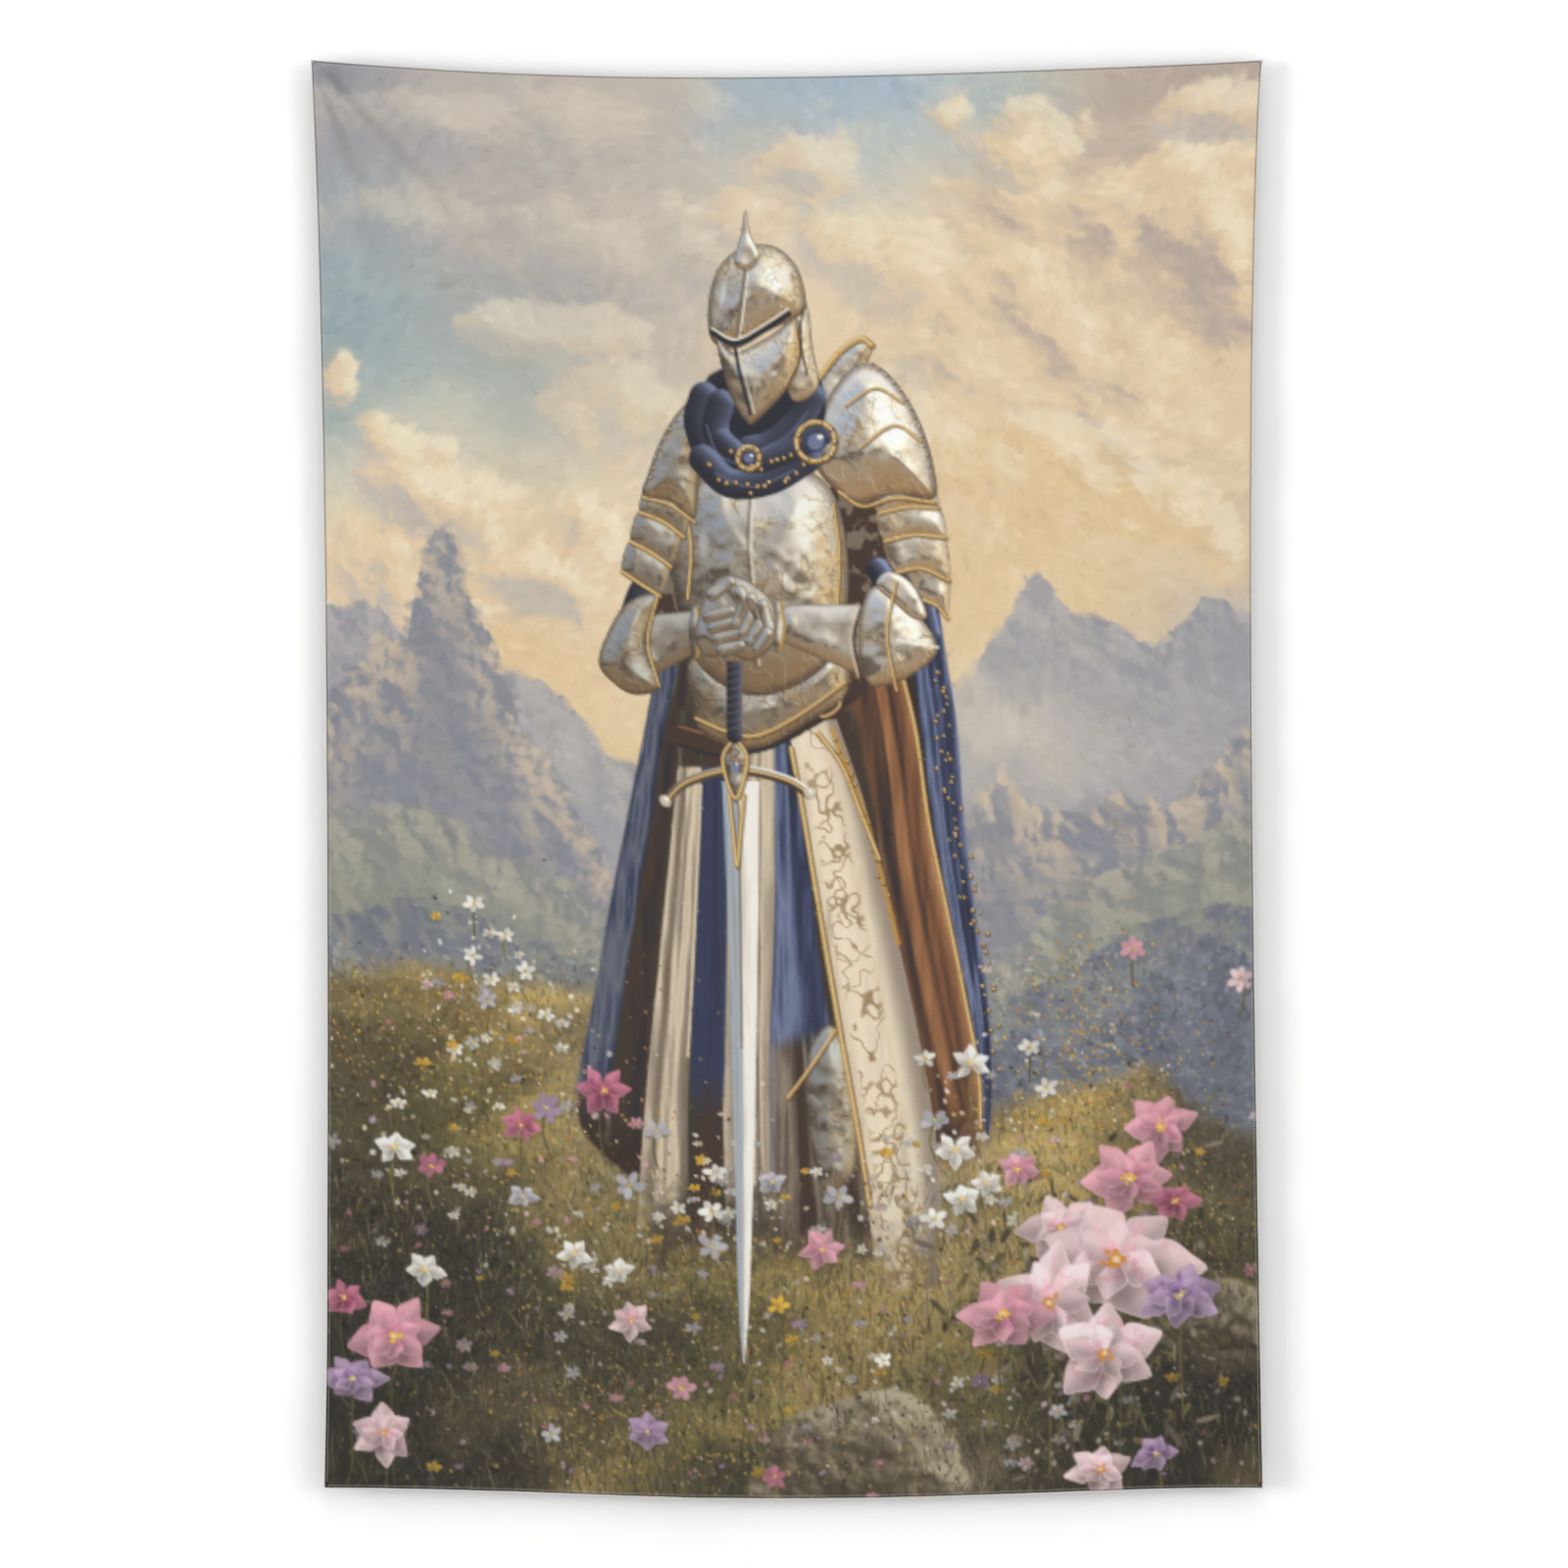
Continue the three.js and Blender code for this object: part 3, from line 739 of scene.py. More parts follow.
def scarf():
    """Rolled blue cloth round the neck, with a plain round clasp and its button."""
    shape = Shape([(42.4, 32), (52.6, 31), (55, 36), (52, 41), (46, 43), (42, 40)], True, 0.2)
    lay(shape, INK["night"])
    for points, width in (([(41.8, 34.4), (41.2, 37), (42.6, 40.6), (46, 42.4)], 3.4),
                          ([(43.6, 35), (43, 38), (45, 41), (49, 41.6)], 3.0),
                          ([(53.6, 34.4), (52, 37), (49, 39.4), (46.6, 40)], 3.0),
                          ([(41.6, 41), (44.6, 43.6), (49, 43.2), (53, 41)], 3.2),
                          ([(43.6, 39), (46.6, 41.2), (50.4, 40.4), (54.6, 38.4)], 2.6)):
        roll(points, width, INK["night"], INK["sky_blue"] * 0.92, 0.15)
    for points in ([(42, 37.4), (43.4, 40.6), (47, 42)], [(53, 36), (51, 38.4), (48, 40)],
                   [(43, 42.6), (47, 44), (51.6, 42.2)]):
        ribbon(points, 0.25, INK["sky_blue"], 0.6)
    studs([(42, 41.8), (45, 43.8), (49.4, 43.6), (53.2, 41.6)], 15, 0.5, "brass", 14, 0.25)
    studs([(45, 40.4), (48, 41.6), (51, 40.2), (54, 38.6)], 13, 0.5, "brass", 15, 0.25)
    for x, y, size in ((53.9, 39.2, 4.2), (46.6, 40.9, 2.4)):
        ring = oval(x, y, size / 2, size / 2, 12)
        gilt(ring + ring[:1], 0.55)
        studs(ring + ring[:1], 10, 0.5, "straw", 16, 0.05)
        dab(x, y, size * 0.62, size * 0.62, 0, INK["navy"], 1.0, 3)
        dab(x, y, size * 0.5, size * 0.5, 0, INK["sky_blue"], 0.9, 2)
        dab(x + 0.12 * size, y - 0.12 * size, size * 0.2, size * 0.16, 0, INK["white"], 0.95)


def helm():
    """A closed helm with a low ridge and a pointed top."""
    # hinge side and cheek plate behind the face guard
    steel([(51, 22), (53, 24.4), (53.6, 29), (54.2, 33.4), (51.4, 34.8), (50.4, 30)], 1.8, 0.6)
    # the dome, with a low ridge
    steel([(42.6, 28.2), (42.3, 24.4), (43.2, 21), (45, 18.9), (47.6, 18), (50, 18.5), (52, 20.6),
           (52.9, 23.8), (52.4, 25.6), (49, 27.2), (45.2, 29.2)], 5.2, 0.8)
    ribbon([(46.6, 19), (46.2, 22), (45.4, 28)], 0.5, rgb(110, 96, 82), 0.7)
    ribbon([(46.85, 19), (46.5, 22), (45.7, 28)], 0.25, rgb(255, 248, 230), 0.8)
    steel([(45.2, 20), (45.9, 16.8), (46.4, 14.3), (46.9, 16.8), (47.9, 19.2), (46.8, 20.8)], 0.7, 0.1)
    # the face guard, tapering to the chin
    steel([(43.2, 28.2), (45.2, 29.6), (49, 27.8), (52, 26), (52.4, 30), (50.9, 33.4), (47.4, 37),
           (46.2, 36.8), (44.4, 33.6)], 4.2, 0.7)
    ribbon([(42.8, 27.5), (45.2, 28.6), (48.4, 27.1), (51, 25.5)], 0.6, INK["night"])
    ribbon([(42.7, 27.0), (45.2, 28.2), (48.4, 26.6), (51, 24.9)], 0.28, INK["keen"], 0.85)
    ribbon([(45.2, 29.2), (45.7, 32), (46.8, 36.2)], 0.35, INK["night"], 0.85)
    ribbon([(45.6, 29.4), (46.2, 32), (47.2, 36)], 0.25, rgb(236, 228, 210), 0.7)
    ribbon([(52.6, 25), (52.2, 28), (53, 32)], 0.3, INK["umber"], 0.7)
    gilt([(51.6, 26.2), (52, 30), (50.6, 33.2)], 0.25)
    studs([(43.6, 26.4), (45.6, 27.4), (48.6, 25.8), (51.4, 24.2)], 8, 0.28, "haze", 17, 0.03)
    dab(50.4, 21.4, 3.0, 1.6, 0.9, rgb(255, 250, 236), 0.8, 1.2)
    dab(43.9, 23.4, 3.6, 0.8, 1.75, rgb(222, 226, 232), 0.6, 1.2)


def sword():
    """A sword standing on its point under the hands."""
    left = [(43.4, 75.5), (44.0, 90), (44.4, 110), (44.8, 130), (45.3, 137.8)]
    middle = [(45.3, 75.5), (45.5, 90), (45.5, 110), (45.4, 130), (45.4, 137.8)]
    right = [(47.5, 75.5), (47.3, 90), (46.8, 110), (46.1, 130), (45.5, 137.8)]
    drape(left, middle, [rgb(130, 140, 150), rgb(176, 186, 196), rgb(150, 150, 150)], 0.6, 121, 0.08, 0.7,
          fades=False)
    drape(middle, right, [rgb(224, 214, 200), "white", "white", rgb(190, 170, 150)], 0.6, 122, 0.08, 0.7,
          fades=False)
    ribbon([(45.2, 78), (45.35, 92), (45.4, 104)], 0.3, rgb(120, 96, 72), 0.6)
    gilt([(44.2, 77), (44.6, 81), (45, 84.6), (45.4, 81), (45.8, 77)], 0.4)
    for points in ([(44.6, 74.2), (41.6, 74.9), (39, 76), (37.2, 77.8)],
                   [(45.2, 74.2), (48.2, 74.7), (51, 75.6), (53, 76.9)]):
        roll(points, 1.15, rgb(70, 56, 44), rgb(226, 216, 196), 0.8)
        gilt(points, 0.3)
    for x, y in ((37.2, 77.7), (53, 76.8)):
        dab(x, y, 1.7, 1.3, 0.8, rgb(214, 202, 180), 0.95)
        dab(x + 0.1, y - 0.2, 0.7, 0.5, 0.8, INK["white"], 0.9)
    steel([(44.9, 70.6), (46.4, 73), (45.9, 75.6), (44.9, 78), (43.9, 75.6), (43.3, 73)], 1.0, 1.6, False)
    gilt([(44.9, 70.8), (46.2, 73.2), (44.9, 77.4), (43.5, 73.2), (44.9, 70.8)], 0.4)
    dab(44.9, 74, 1.0, 1.3, 0, INK["sky_blue"], 0.95)
    dab(45.05, 73.7, 0.35, 0.35, 0, INK["white"], 0.95)
    roll([(44.9, 62), (44.85, 66), (44.85, 70.6)], 1.75, INK["night"], rgb(96, 98, 112), 0.3)
    for k in range(9):
        ribbon([(44.1, 63.2 + 0.85 * k), (45.7, 62.8 + 0.85 * k)], 0.16, rgb(120, 116, 118), 0.6)
    tube((44.2, 61.9), (45.6, 61.9), 1.7, 1.7, 0.4)
    dab(45.2, 61.6, 0.7, 0.5, 0, INK["white"], 0.9)

# ======================================================================
# Flowers
# ======================================================================
# a petal's outline, as shares of its length along it and of half its width to each side
PETAL = [(0, 0.12), (0.28, 0.62), (0.54, 0.96), (0.8, 0.56), (1, 0.04), (0.82, -0.42), (0.56, -0.9),
         (0.3, -0.66), (0, -0.12)]


def petal(x, y, long, wide, angle, outer, inner, random):
    """One petal: deeper at its base, lit towards its tip, with a crisp edge."""
    cos, sin = np.cos(angle), np.sin(angle)
    bend = random.normal(0, 0.12)
    points = []
    for along, aside in PETAL:
        u, v = along * long, aside * wide / 2 + bend * long * along ** 2
        points.append((x + u * cos - v * sin, y + u * sin + v * cos))
    shape = Shape(points, True, 0.1)
    along = ((shape.x - x) * cos + (shape.y - y) * sin) / long
    aside = ((shape.y - y) * cos - (shape.x - x) * sin) / wide
    opened = smooth(along + 0.3 * FINE[shape.area], -0.1, 0.7)
    tone = mix(np.broadcast_to(inner, shape.x.shape + (3,)), outer, opened)
    light = 1 + 0.13 * np.sin(6 * aside) * np.sign(cos + 0.1) * -1 + 0.12 * (along - 0.5) - 0.1 * sin
    tone = tone * np.clip(light, 0.7, 1.15)[..., None]
    tone = mix(tone, np.minimum(outer * 1.1, 1), 0.7 * (1 - smooth(shape.depth, 0.05, 0.25)))
    lay(shape, np.minimum(tone, 1), 0.93)


def flower(x, y, size, kind, random, flattest, roundest):
    """An open flower seen at a slant; a large one has a second, smaller ring of petals."""
    outer, inner, centre, petals = kind
    turn, squash = random.uniform(0, 6.3), random.uniform(flattest, roundest)
    rings = ((0, 1.0), (0.5, 0.66)) if size > 6 else ((0, 1.0),)
    for offset, reach in rings:
        for k in range(petals):
            angle = turn + 2 * np.pi * (k + offset) / petals + random.normal(0, 0.12)
            ax, ay = np.cos(angle), np.sin(angle) * squash
            long = reach * size * np.hypot(ax, ay) * random.uniform(0.46, 0.58)
            lean = np.arctan2(ay, ax)
            dab(x + 0.6 * long * ax + 0.05 * size, y + 0.6 * long * ay + 0.07 * size, long,
                0.4 * size * reach, lean, INK["earth"], 0.3 * reach, 1.0)
            if size > 3.5:
                wide = reach * size * random.uniform(0.3, 0.4)
                petal(x, y, long, wide, lean, outer * random.uniform(0.84, 1.04), inner, random)
            else:
                px, py = x + 0.55 * long * np.cos(lean), y + 0.55 * long * np.sin(lean)
                tint = np.minimum(outer * random.uniform(0.85, 1.04), 1)
                dab(px, py, long, 0.32 * size, lean, tint, 0.95, 2)
    for _ in range(int(4 + size)):
        spot = random.normal(0, 0.03 * size + 0.05, 2)
        dab(x + spot[0], y + spot[1] * squash, 0.04 * size + 0.12, 0.03 * size + 0.12, 0, centre, 0.85)
    dab(x, y, size * 0.06, size * 0.05, 0, INK["cream"], 0.8)


KINDS = {
    # outer and inner colour of the petals, colour of the middle, number of petals
    "white": (INK["white"], INK["haze"], INK["sun"], 5),
    "dim": (rgb(196, 192, 196), rgb(150, 144, 150), INK["straw"], 5),
    "pink": (INK["pink"], INK["rose"], INK["sun"], 6),
    "rose": (INK["rose"], rgb(140, 60, 88), INK["sun"], 6),
    "blush": (INK["blush"], INK["pink"], INK["amber"], 6),
    "violet": (INK["violet"], rgb(110, 80, 130), INK["straw"], 6),
    "yellow": (INK["sun"], INK["amber"], INK["amber"], 5),
}
BLOOMS = [
    # x, y, size and kind
    # a low bank of large flowers at the lower right
    (86, 127.6, 17.5, "blush"), (78.6, 132, 13, "blush"), (80, 124, 9, "blush"), (93, 131.6, 9.5, "violet"),
    (73.6, 133, 10, "pink"), (87.6, 119, 10, "pink"), (84.6, 137.6, 12, "blush"), (91, 113.6, 8, "pink"),
    (92.4, 121.6, 5.6, "rose"), (75.4, 117.6, 5, "pink"), (84, 150, 7.4, "blush"), (90, 148.4, 5, "violet"),
    # the lower left
    (7.4, 136, 10.5, "pink"), (3, 140.6, 7, "violet"), (6.4, 146.4, 7, "blush"), (2, 132, 5, "rose"),
    # between
    (30.2, 109, 5.6, "rose"), (21.2, 113, 4.2, "rose"), (54, 125.6, 4.6, "pink"),
    (33.2, 133.6, 4.6, "blush"),
    (38.6, 140.6, 3.4, "pink"), (35, 145.4, 4.8, "violet"), (48.8, 150, 2.8, "rose"),
    (24, 111, 3.4, "violet"),
    (88.2, 94.4, 3.0, "pink"), (100, 98, 3, "blush"), (11.4, 117.6, 3.4, "rose"),
    # white ones
    (7.4, 115.8, 4.8, "white"), (10.8, 128.8, 4.6, "white"), (27, 126.6, 3.8, "white"),
    (31.8, 128.2, 3.6, "white"),
    (21.4, 120.6, 3.6, "dim"), (16.2, 89.4, 2.4, "white"), (19.6, 92.6, 2.0, "white"),
    (16, 95, 2.2, "white"),
    (21.8, 96.4, 2.4, "white"), (17.6, 99.6, 2.4, "dim"), (24, 101, 2.0, "white"), (70.4, 106, 4.2, "white"),
    (76.8, 104.6, 2.6, "white"), (65.4, 105.4, 2.4, "white"), (68.6, 115.4, 4.6, "white"),
    (66.4, 112, 3.4, "dim"),
    (72, 119, 3.8, "white"), (69.4, 120.6, 4.4, "white"), (66.2, 122.6, 3, "white"),
    (78.6, 109, 2.6, "white"),
    (42.4, 117.4, 2.6, "white"), (42, 121.6, 3, "white"), (48.6, 118.4, 3.6, "dim"), (55.8, 120, 3.2, "dim"),
    (42, 125.4, 3.4, "dim"), (49.2, 131.6, 2.4, "yellow"), (36, 113, 3, "dim"), (33, 119, 3.4, "dim"),
    (60.6, 137.6, 2.0, "white"), (24.6, 146, 2.4, "dim"), (79.4, 143.6, 2.2, "dim"),
]


def stem(x, y, length, lean, colour):
    """A thin stem that bends to one side below its flower."""
    ribbon([(x, y), (x - 0.4 * lean, y + 0.5 * length), (x + lean * 0.2, y + length)], 0.22, colour, 0.85)


def flowers():
    """The large flowers over a dark bank of leaves."""
    random = np.random.default_rng(91)
    leaves = ("earth", "olive", "leaf", "earth", "taupe")
    for _ in range(420):
        x, y = random.normal(84, 8), random.normal(133, 8)
        colour = INK[pick(random, leaves)] * random.uniform(0.6, 1.1)
        dab(x, y, random.uniform(1, 3), random.uniform(0.4, 1), random.uniform(0, 3), colour, 0.7, 1.5)
    blooms = sorted(BLOOMS, key=lambda bloom: bloom[1])
    for x, y, size, kind in blooms:
        stem(x, y, size * 1.4, random.uniform(-1.5, 1.5), INK["leaf"] * random.uniform(0.6, 1.1))
    for x, y, size, kind in blooms:
        flower(x, y, size, KINDS[kind], random, 0.65, 0.95)


def small_flowers(count, seed, size, kinds, gather):
    """Small flowers scattered round the places in gather."""
    random = np.random.default_rng(seed)
    for _ in range(count):
        x, y, wide, high = pick(random, gather)
        outer, *others = KINDS[pick(random, kinds)]
        px, py = random.normal(x, wide), random.normal(y, high)
        grown = size * random.uniform(0.6, 1.3)
        flower(px, py, grown, (outer * random.uniform(0.8, 1.0), *others), random, 0.5, 0.9)


def rocks():
    """Two boulders in the grass."""
    stone_dark, stone_lit = rgb(84, 72, 54), rgb(214, 198, 166)
    for points, seed in (([(47, 149), (50, 144), (55, 142), (61, 140.6), (66, 143), (69, 148), (68, 153),
                           (47, 153)], 131),
                         ([(88, 135), (93, 131), (99, 130), (103, 133), (103, 139), (94, 140)], 132)):
        shape = Shape(points, True, 0.35)
        grain = noise(4.5, seed, 5, 1.3, 0.55)
        right, up = shape.normals(6.0, 1.6 * grain)
        lit = np.clip(0.42 + 0.45 * right + 0.5 * up + 0.12 * grain[shape.area], 0, 1)
        tone = stone_dark + (stone_lit - stone_dark) * lit[..., None]
        tone = mix(tone, INK["olive"], 0.5 * smooth(SPECK[shape.area], 0.2, 0.8))
        lay(shape, tone)


# where small things gather: x, y, and the spread across and down
GOLDEN = [(5, 102, 9, 4), (17, 104, 9, 5), (26, 112, 6, 5), (78, 112, 5, 5), (87, 110, 5, 6),
          (83, 103, 4, 5), (58, 128, 8, 5), (70, 124, 6, 4), (38, 126, 6, 4), (50, 136, 9, 5),
          (28, 144, 6, 6), (95, 124, 5, 6), (46, 146, 9, 4)]
WHITES = [(16, 95, 4, 5), (20, 104, 5, 5), (10, 116, 6, 4), (30, 126, 6, 4), (68, 112, 4, 6),
          (73, 118, 6, 5), (42, 120, 4, 5), (56, 122, 7, 4), (60, 138, 8, 4), (84, 142, 8, 4)]
ANYWHERE = [(15, 120, 14, 12), (15, 140, 14, 9), (50, 142, 22, 7), (75, 142, 18, 8), (85, 124, 12, 9)]


def paint_picture():
    """Paints the whole print, from the furthest layer to the nearest."""
    for layer in (sky, mountains, glow):
        layer()
    # each brushed: count, length, width, seed, from and to in cm down, strength, spread of tints, lean
    brushed(9000, 2.4, 0.9, 70, 0, 112, 0.5)
    brushed(14000, 1.1, 0.4, 72, 0, 114, 0.5)
    ground()
    brushed(16000, 0.9, 0.4, 74, 94, HIGH, 0.65, 0.07, 2.4)
    # each grass: count, seed, from and to in cm down, height, then tones from the darkest
    grass(7000, 80, 96, HIGH + 2, 3.2, ["earth", "olive", "leaf", "straw", "taupe"])
    # each specks and small_flowers: count, seed, size, then tones or kinds, and where they gather
    specks(3000, 82, 0.36, ["straw", "sun", "straw", "amber", "leaf"], GOLDEN)
    for layer in (cloak, skirt, belt, body_armour, shoulders, forearms, scarf, helm):
        layer()
    brushed(9000, 0.8, 0.22, 86, 14, 130, 0.5, 0.02, 2.0)
    rocks()
    grass(2600, 88, 117, HIGH + 2, 3.4, ["earth", "olive", "straw", "leaf", "cream"], 0.5)
    specks(3600, 90, 0.42, ["straw", "leaf", "earth", "olive", "taupe", "umber"], ANYWHERE)
    specks(1200, 92, 0.36, ["straw", "sun", "cream", "amber"], GOLDEN)
    specks(380, 94, 0.6, ["white", "haze", "cream"], WHITES)
    specks(200, 96, 0.7, ["pink", "violet", "blush", "rose"], ANYWHERE)
    small_flowers(150, 97, 1.5, ["white", "dim", "white", "yellow"], WHITES)
    small_flowers(90, 98, 1.6, ["dim", "pink", "violet", "blush", "yellow"], ANYWHERE)
    # the foot of the picture is darker, most of all away from the figure
    foot = smooth(DOWN, GRASS_TOP, 136)
    sides = smooth(np.abs(ACROSS - 46), 18, 48)
    CANVAS[:] *= (1 - 0.14 * foot - 0.16 * foot * sides)[..., None]
    for layer in (sword, gauntlets, flowers):
        layer()
    brushed(7000, 0.7, 0.2, 99, 100, HIGH, 0.4, 0.03, 2.0)


# ======================================================================
# The hung sheet: the same outline and stand-off as the CAD model, in metres
# ======================================================================
CLOTH_WIDTH, CLOTH_HEIGHT = 1.016, 1.524
CLOTH_THICK, LAYER_GAP = 0.0005, 0.0003
HEM_WIDTH, HEM_THICK = 0.005, 0.001
STITCH_INSET, PIN_INSET = 0.0038, 0.0025
FRONT_TO_WALL = CLOTH_THICK + LAYER_GAP + HEM_THICK + 0.001

TOP_SAG, TOP_LEAN, BOTTOM_BOW = 0.0178, 0.002, 0.0115
LEFT_PULL, LEFT_FLICK, RIGHT_PULL = 0.0175, 0.0035, 0.012
BILLOW, FOLD_DEPTH, FOLD_COUNT, FOLD_SLANT = 0.0035, 0.0014, 3, 0.35
FLAT_CORNER, RELAX_LENGTH = 0.06, 0.16
GATHER_PITCH = 0.017               # from one small gather along a hem to the next


def stand_off(left, top):
    """How far the cloth stands forward of where it lies at the pins."""
    across, down = left / CLOTH_WIDTH, top / CLOTH_HEIGHT
    reach = np.maximum(np.minimum(left, CLOTH_WIDTH - left), top)
    free = smooth(reach, FLAT_CORNER, FLAT_CORNER + RELAX_LENGTH)
    swell = BILLOW * np.sin(np.pi * across) * (0.4 + 0.6 * np.sin(np.pi * down))
    turns = FOLD_COUNT * across + FOLD_SLANT * down
    folds = FOLD_DEPTH * (0.3 + 0.7 * down) * (1 - np.cos(2 * np.pi * turns))
    return free * (swell + folds)


def crease(left, top, start, angle, length, wide, high, spread):
    """A fold that fans out from start at an angle below +X: sharp at first, then wider and lost."""
    along = (left - start[0]) * math.cos(angle) + (top - start[1]) * math.sin(angle)
    aside = (top - start[1]) * math.cos(angle) - (left - start[0]) * math.sin(angle)
    half = wide + spread * np.maximum(along, 0)
    rise = smooth(along, 0, 0.02) * (1 - smooth(along, 0.25 * length, length))
    return high * rise * np.exp(-((aside / half) ** 2))


CREASES = [
    # from the right edge, from the bottom, start, angle, length, width, height (below 0 for a dip), spread
    (False, False, (0.004, 0.006), 0.86, 0.42, 0.0065, 0.0070, 0.095),
    (False, False, (0.014, 0.004), 0.76, 0.38, 0.0070, -0.0052, 0.110),
    (False, False, (0.003, 0.010), 1.32, 0.30, 0.0060, 0.0056, 0.060),
    (False, False, (0.004, 0.012), 1.10, 0.20, 0.0060, -0.0030, 0.070),
    (True, False, (0.006, 0.006), 0.72, 0.24, 0.0080, 0.0020, 0.080),
    (True, True, (0.01, 0.01), 1.1, 0.18, 0.0080, 0.0012, 0.080),
    (False, True, (0.01, 0.01), 1.2, 0.22, 0.0080, 0.0014, 0.080),
]


def creases(left, top):
    """The folds that run from the corners."""
    total = 0
    for from_right, from_bottom, *fold in CREASES:
        aside = CLOTH_WIDTH - left if from_right else left
        down = CLOTH_HEIGHT - top if from_bottom else top
        total = total + crease(aside, down, *fold)
    return total


def from_edge(left, top):
    """How far in from the nearest edge each place is, across and down."""
    return np.minimum(left, CLOTH_WIDTH - left), np.minimum(top, CLOTH_HEIGHT - top)


def puckers(left, top):
    """The small gathers that the stitching pulls along each hem."""
    side, end = from_edge(left, top)
    edge = np.minimum(side, end)
    run = np.where(side < end, top, left)
    wave = np.sin(run * 2 * np.pi / GATHER_PITCH + 2 * np.sin(run * 23)) * (0.6 + 0.4 * np.sin(run * 61))
    groove = np.exp(-(((edge - STITCH_INSET) / 0.0016) ** 2))
    return 0.00022 * wave * np.exp(-edge / 0.007) - 0.00016 * groove


def hung(left, top, depth, relief=True):
    """The place of each point of the cloth, at a depth below its front face."""
    across, down = left / CLOTH_WIDTH, top / CLOTH_HEIGHT
    top_edge = TOP_SAG * (1 - (2 * across - 1) ** 2) + TOP_LEAN * np.sin(2 * np.pi * across)
    bottom_edge = CLOTH_HEIGHT + BOTTOM_BOW * np.sin(np.pi * across) ** 2
    v = np.clip(down, 0, 1)
    left_edge = LEFT_PULL * (1 - (1 - v) ** 4) - LEFT_FLICK * v ** 12
    right_edge = CLOTH_WIDTH - RIGHT_PULL * np.sin(np.pi * v ** 0.68)
    x = left_edge + (right_edge - left_edge) * across
    z = -(top_edge + (bottom_edge - top_edge) * down)
    forward = stand_off(left, top) + FRONT_TO_WALL - depth
    if relief:
        forward = forward + creases(left, top) + puckers(left, top) + settled(left, top)
    return np.stack([x, -forward, z], -1)


ends = np.array([PIN_INSET, CLOTH_WIDTH - PIN_INSET])
pins = hung(ends, np.full(2, PIN_INSET), 0.0, relief=False)
HANG_POINT = (pins[0] + pins[1]) / 2 * np.array([1, 0, 1])


def on_cloth(left, top, depth):
    """The place of each point of the cloth in the part's frame, which starts midway between the pins."""
    return hung(left, top, depth) - HANG_POINT


def spline(place, count):
    """The four grid lines round each place, with their shares in a smooth surface."""
    low = np.clip(place.astype(int), 0, count - 2)
    t = place - low
    shares = ((1 - t) ** 3, 3 * t ** 3 - 6 * t ** 2 + 4, -3 * t ** 3 + 3 * t ** 2 + 3 * t + 1, t ** 3)
    return [(np.clip(low + k - 1, 0, count - 1), share / 6) for k, share in enumerate(shares)]


def settled(left, top):
    """How far the simulated cloth has moved forward at each place: a smooth surface over its grid."""
    rows, columns = drape_moves.shape
    across = spline(np.clip(left / CLOTH_WIDTH, 0, 1) * (columns - 1), columns)
    down = spline(np.clip(top / CLOTH_HEIGHT, 0, 1) * (rows - 1), rows)
    return sum(drape_moves[r, c] * v * u for r, v in down for c, u in across)


# ======================================================================
# Meshes
# ======================================================================
def add_mesh(name, vertices, faces, material, smooth_faces=True):
    """A new object of these vertices and faces, linked to the scene."""
    mesh = bpy.data.meshes.new(name)
    mesh.from_pydata(np.asarray(vertices, float).reshape(-1, 3), [], faces)
    mesh.polygons.foreach_set("use_smooth", np.full(len(mesh.polygons), smooth_faces))
    if material:
        mesh.materials.append(material)
    mesh.update()
    piece = bpy.data.objects.new(name, mesh)
    bpy.context.scene.collection.objects.link(piece)
    return piece


def grid_faces(rows, columns, flip=False):
    """Four-sided faces over a grid of rows by columns of vertices."""
    first = (np.arange(rows - 1)[:, None] * columns + np.arange(columns - 1)).ravel()
    faces = np.stack([first, first + columns, first + columns + 1, first + 1], 1)
    return faces[:, ::-1] if flip else faces


def sheet_piece(name, left_lines, top_lines, depth, material, flip=False):
    """One face of the cloth over a grid of lines, and where on the cloth its vertices are."""
    left, top = np.meshgrid(left_lines, top_lines)
    faces = grid_faces(len(top_lines), len(left_lines), flip)
    return add_mesh(name, on_cloth(left, top, depth), faces, material), left, top


SIM_COLUMNS, SIM_ROWS, SIM_FRAMES = 45, 67, 24
SIM_SLACK, SIM_CAP = 0.004, 0.004  # extra size as a share, and the furthest a move may reach in metres
SIM_HELD, SIM_FREE = 0.03, 0.12    # held within the first distance from a pin, free beyond the second
SIM_DIP = 0.4                      # moves back towards the wall are kept this much smaller
CLOTH_WEIGHT = 0.15                # kg per square metre


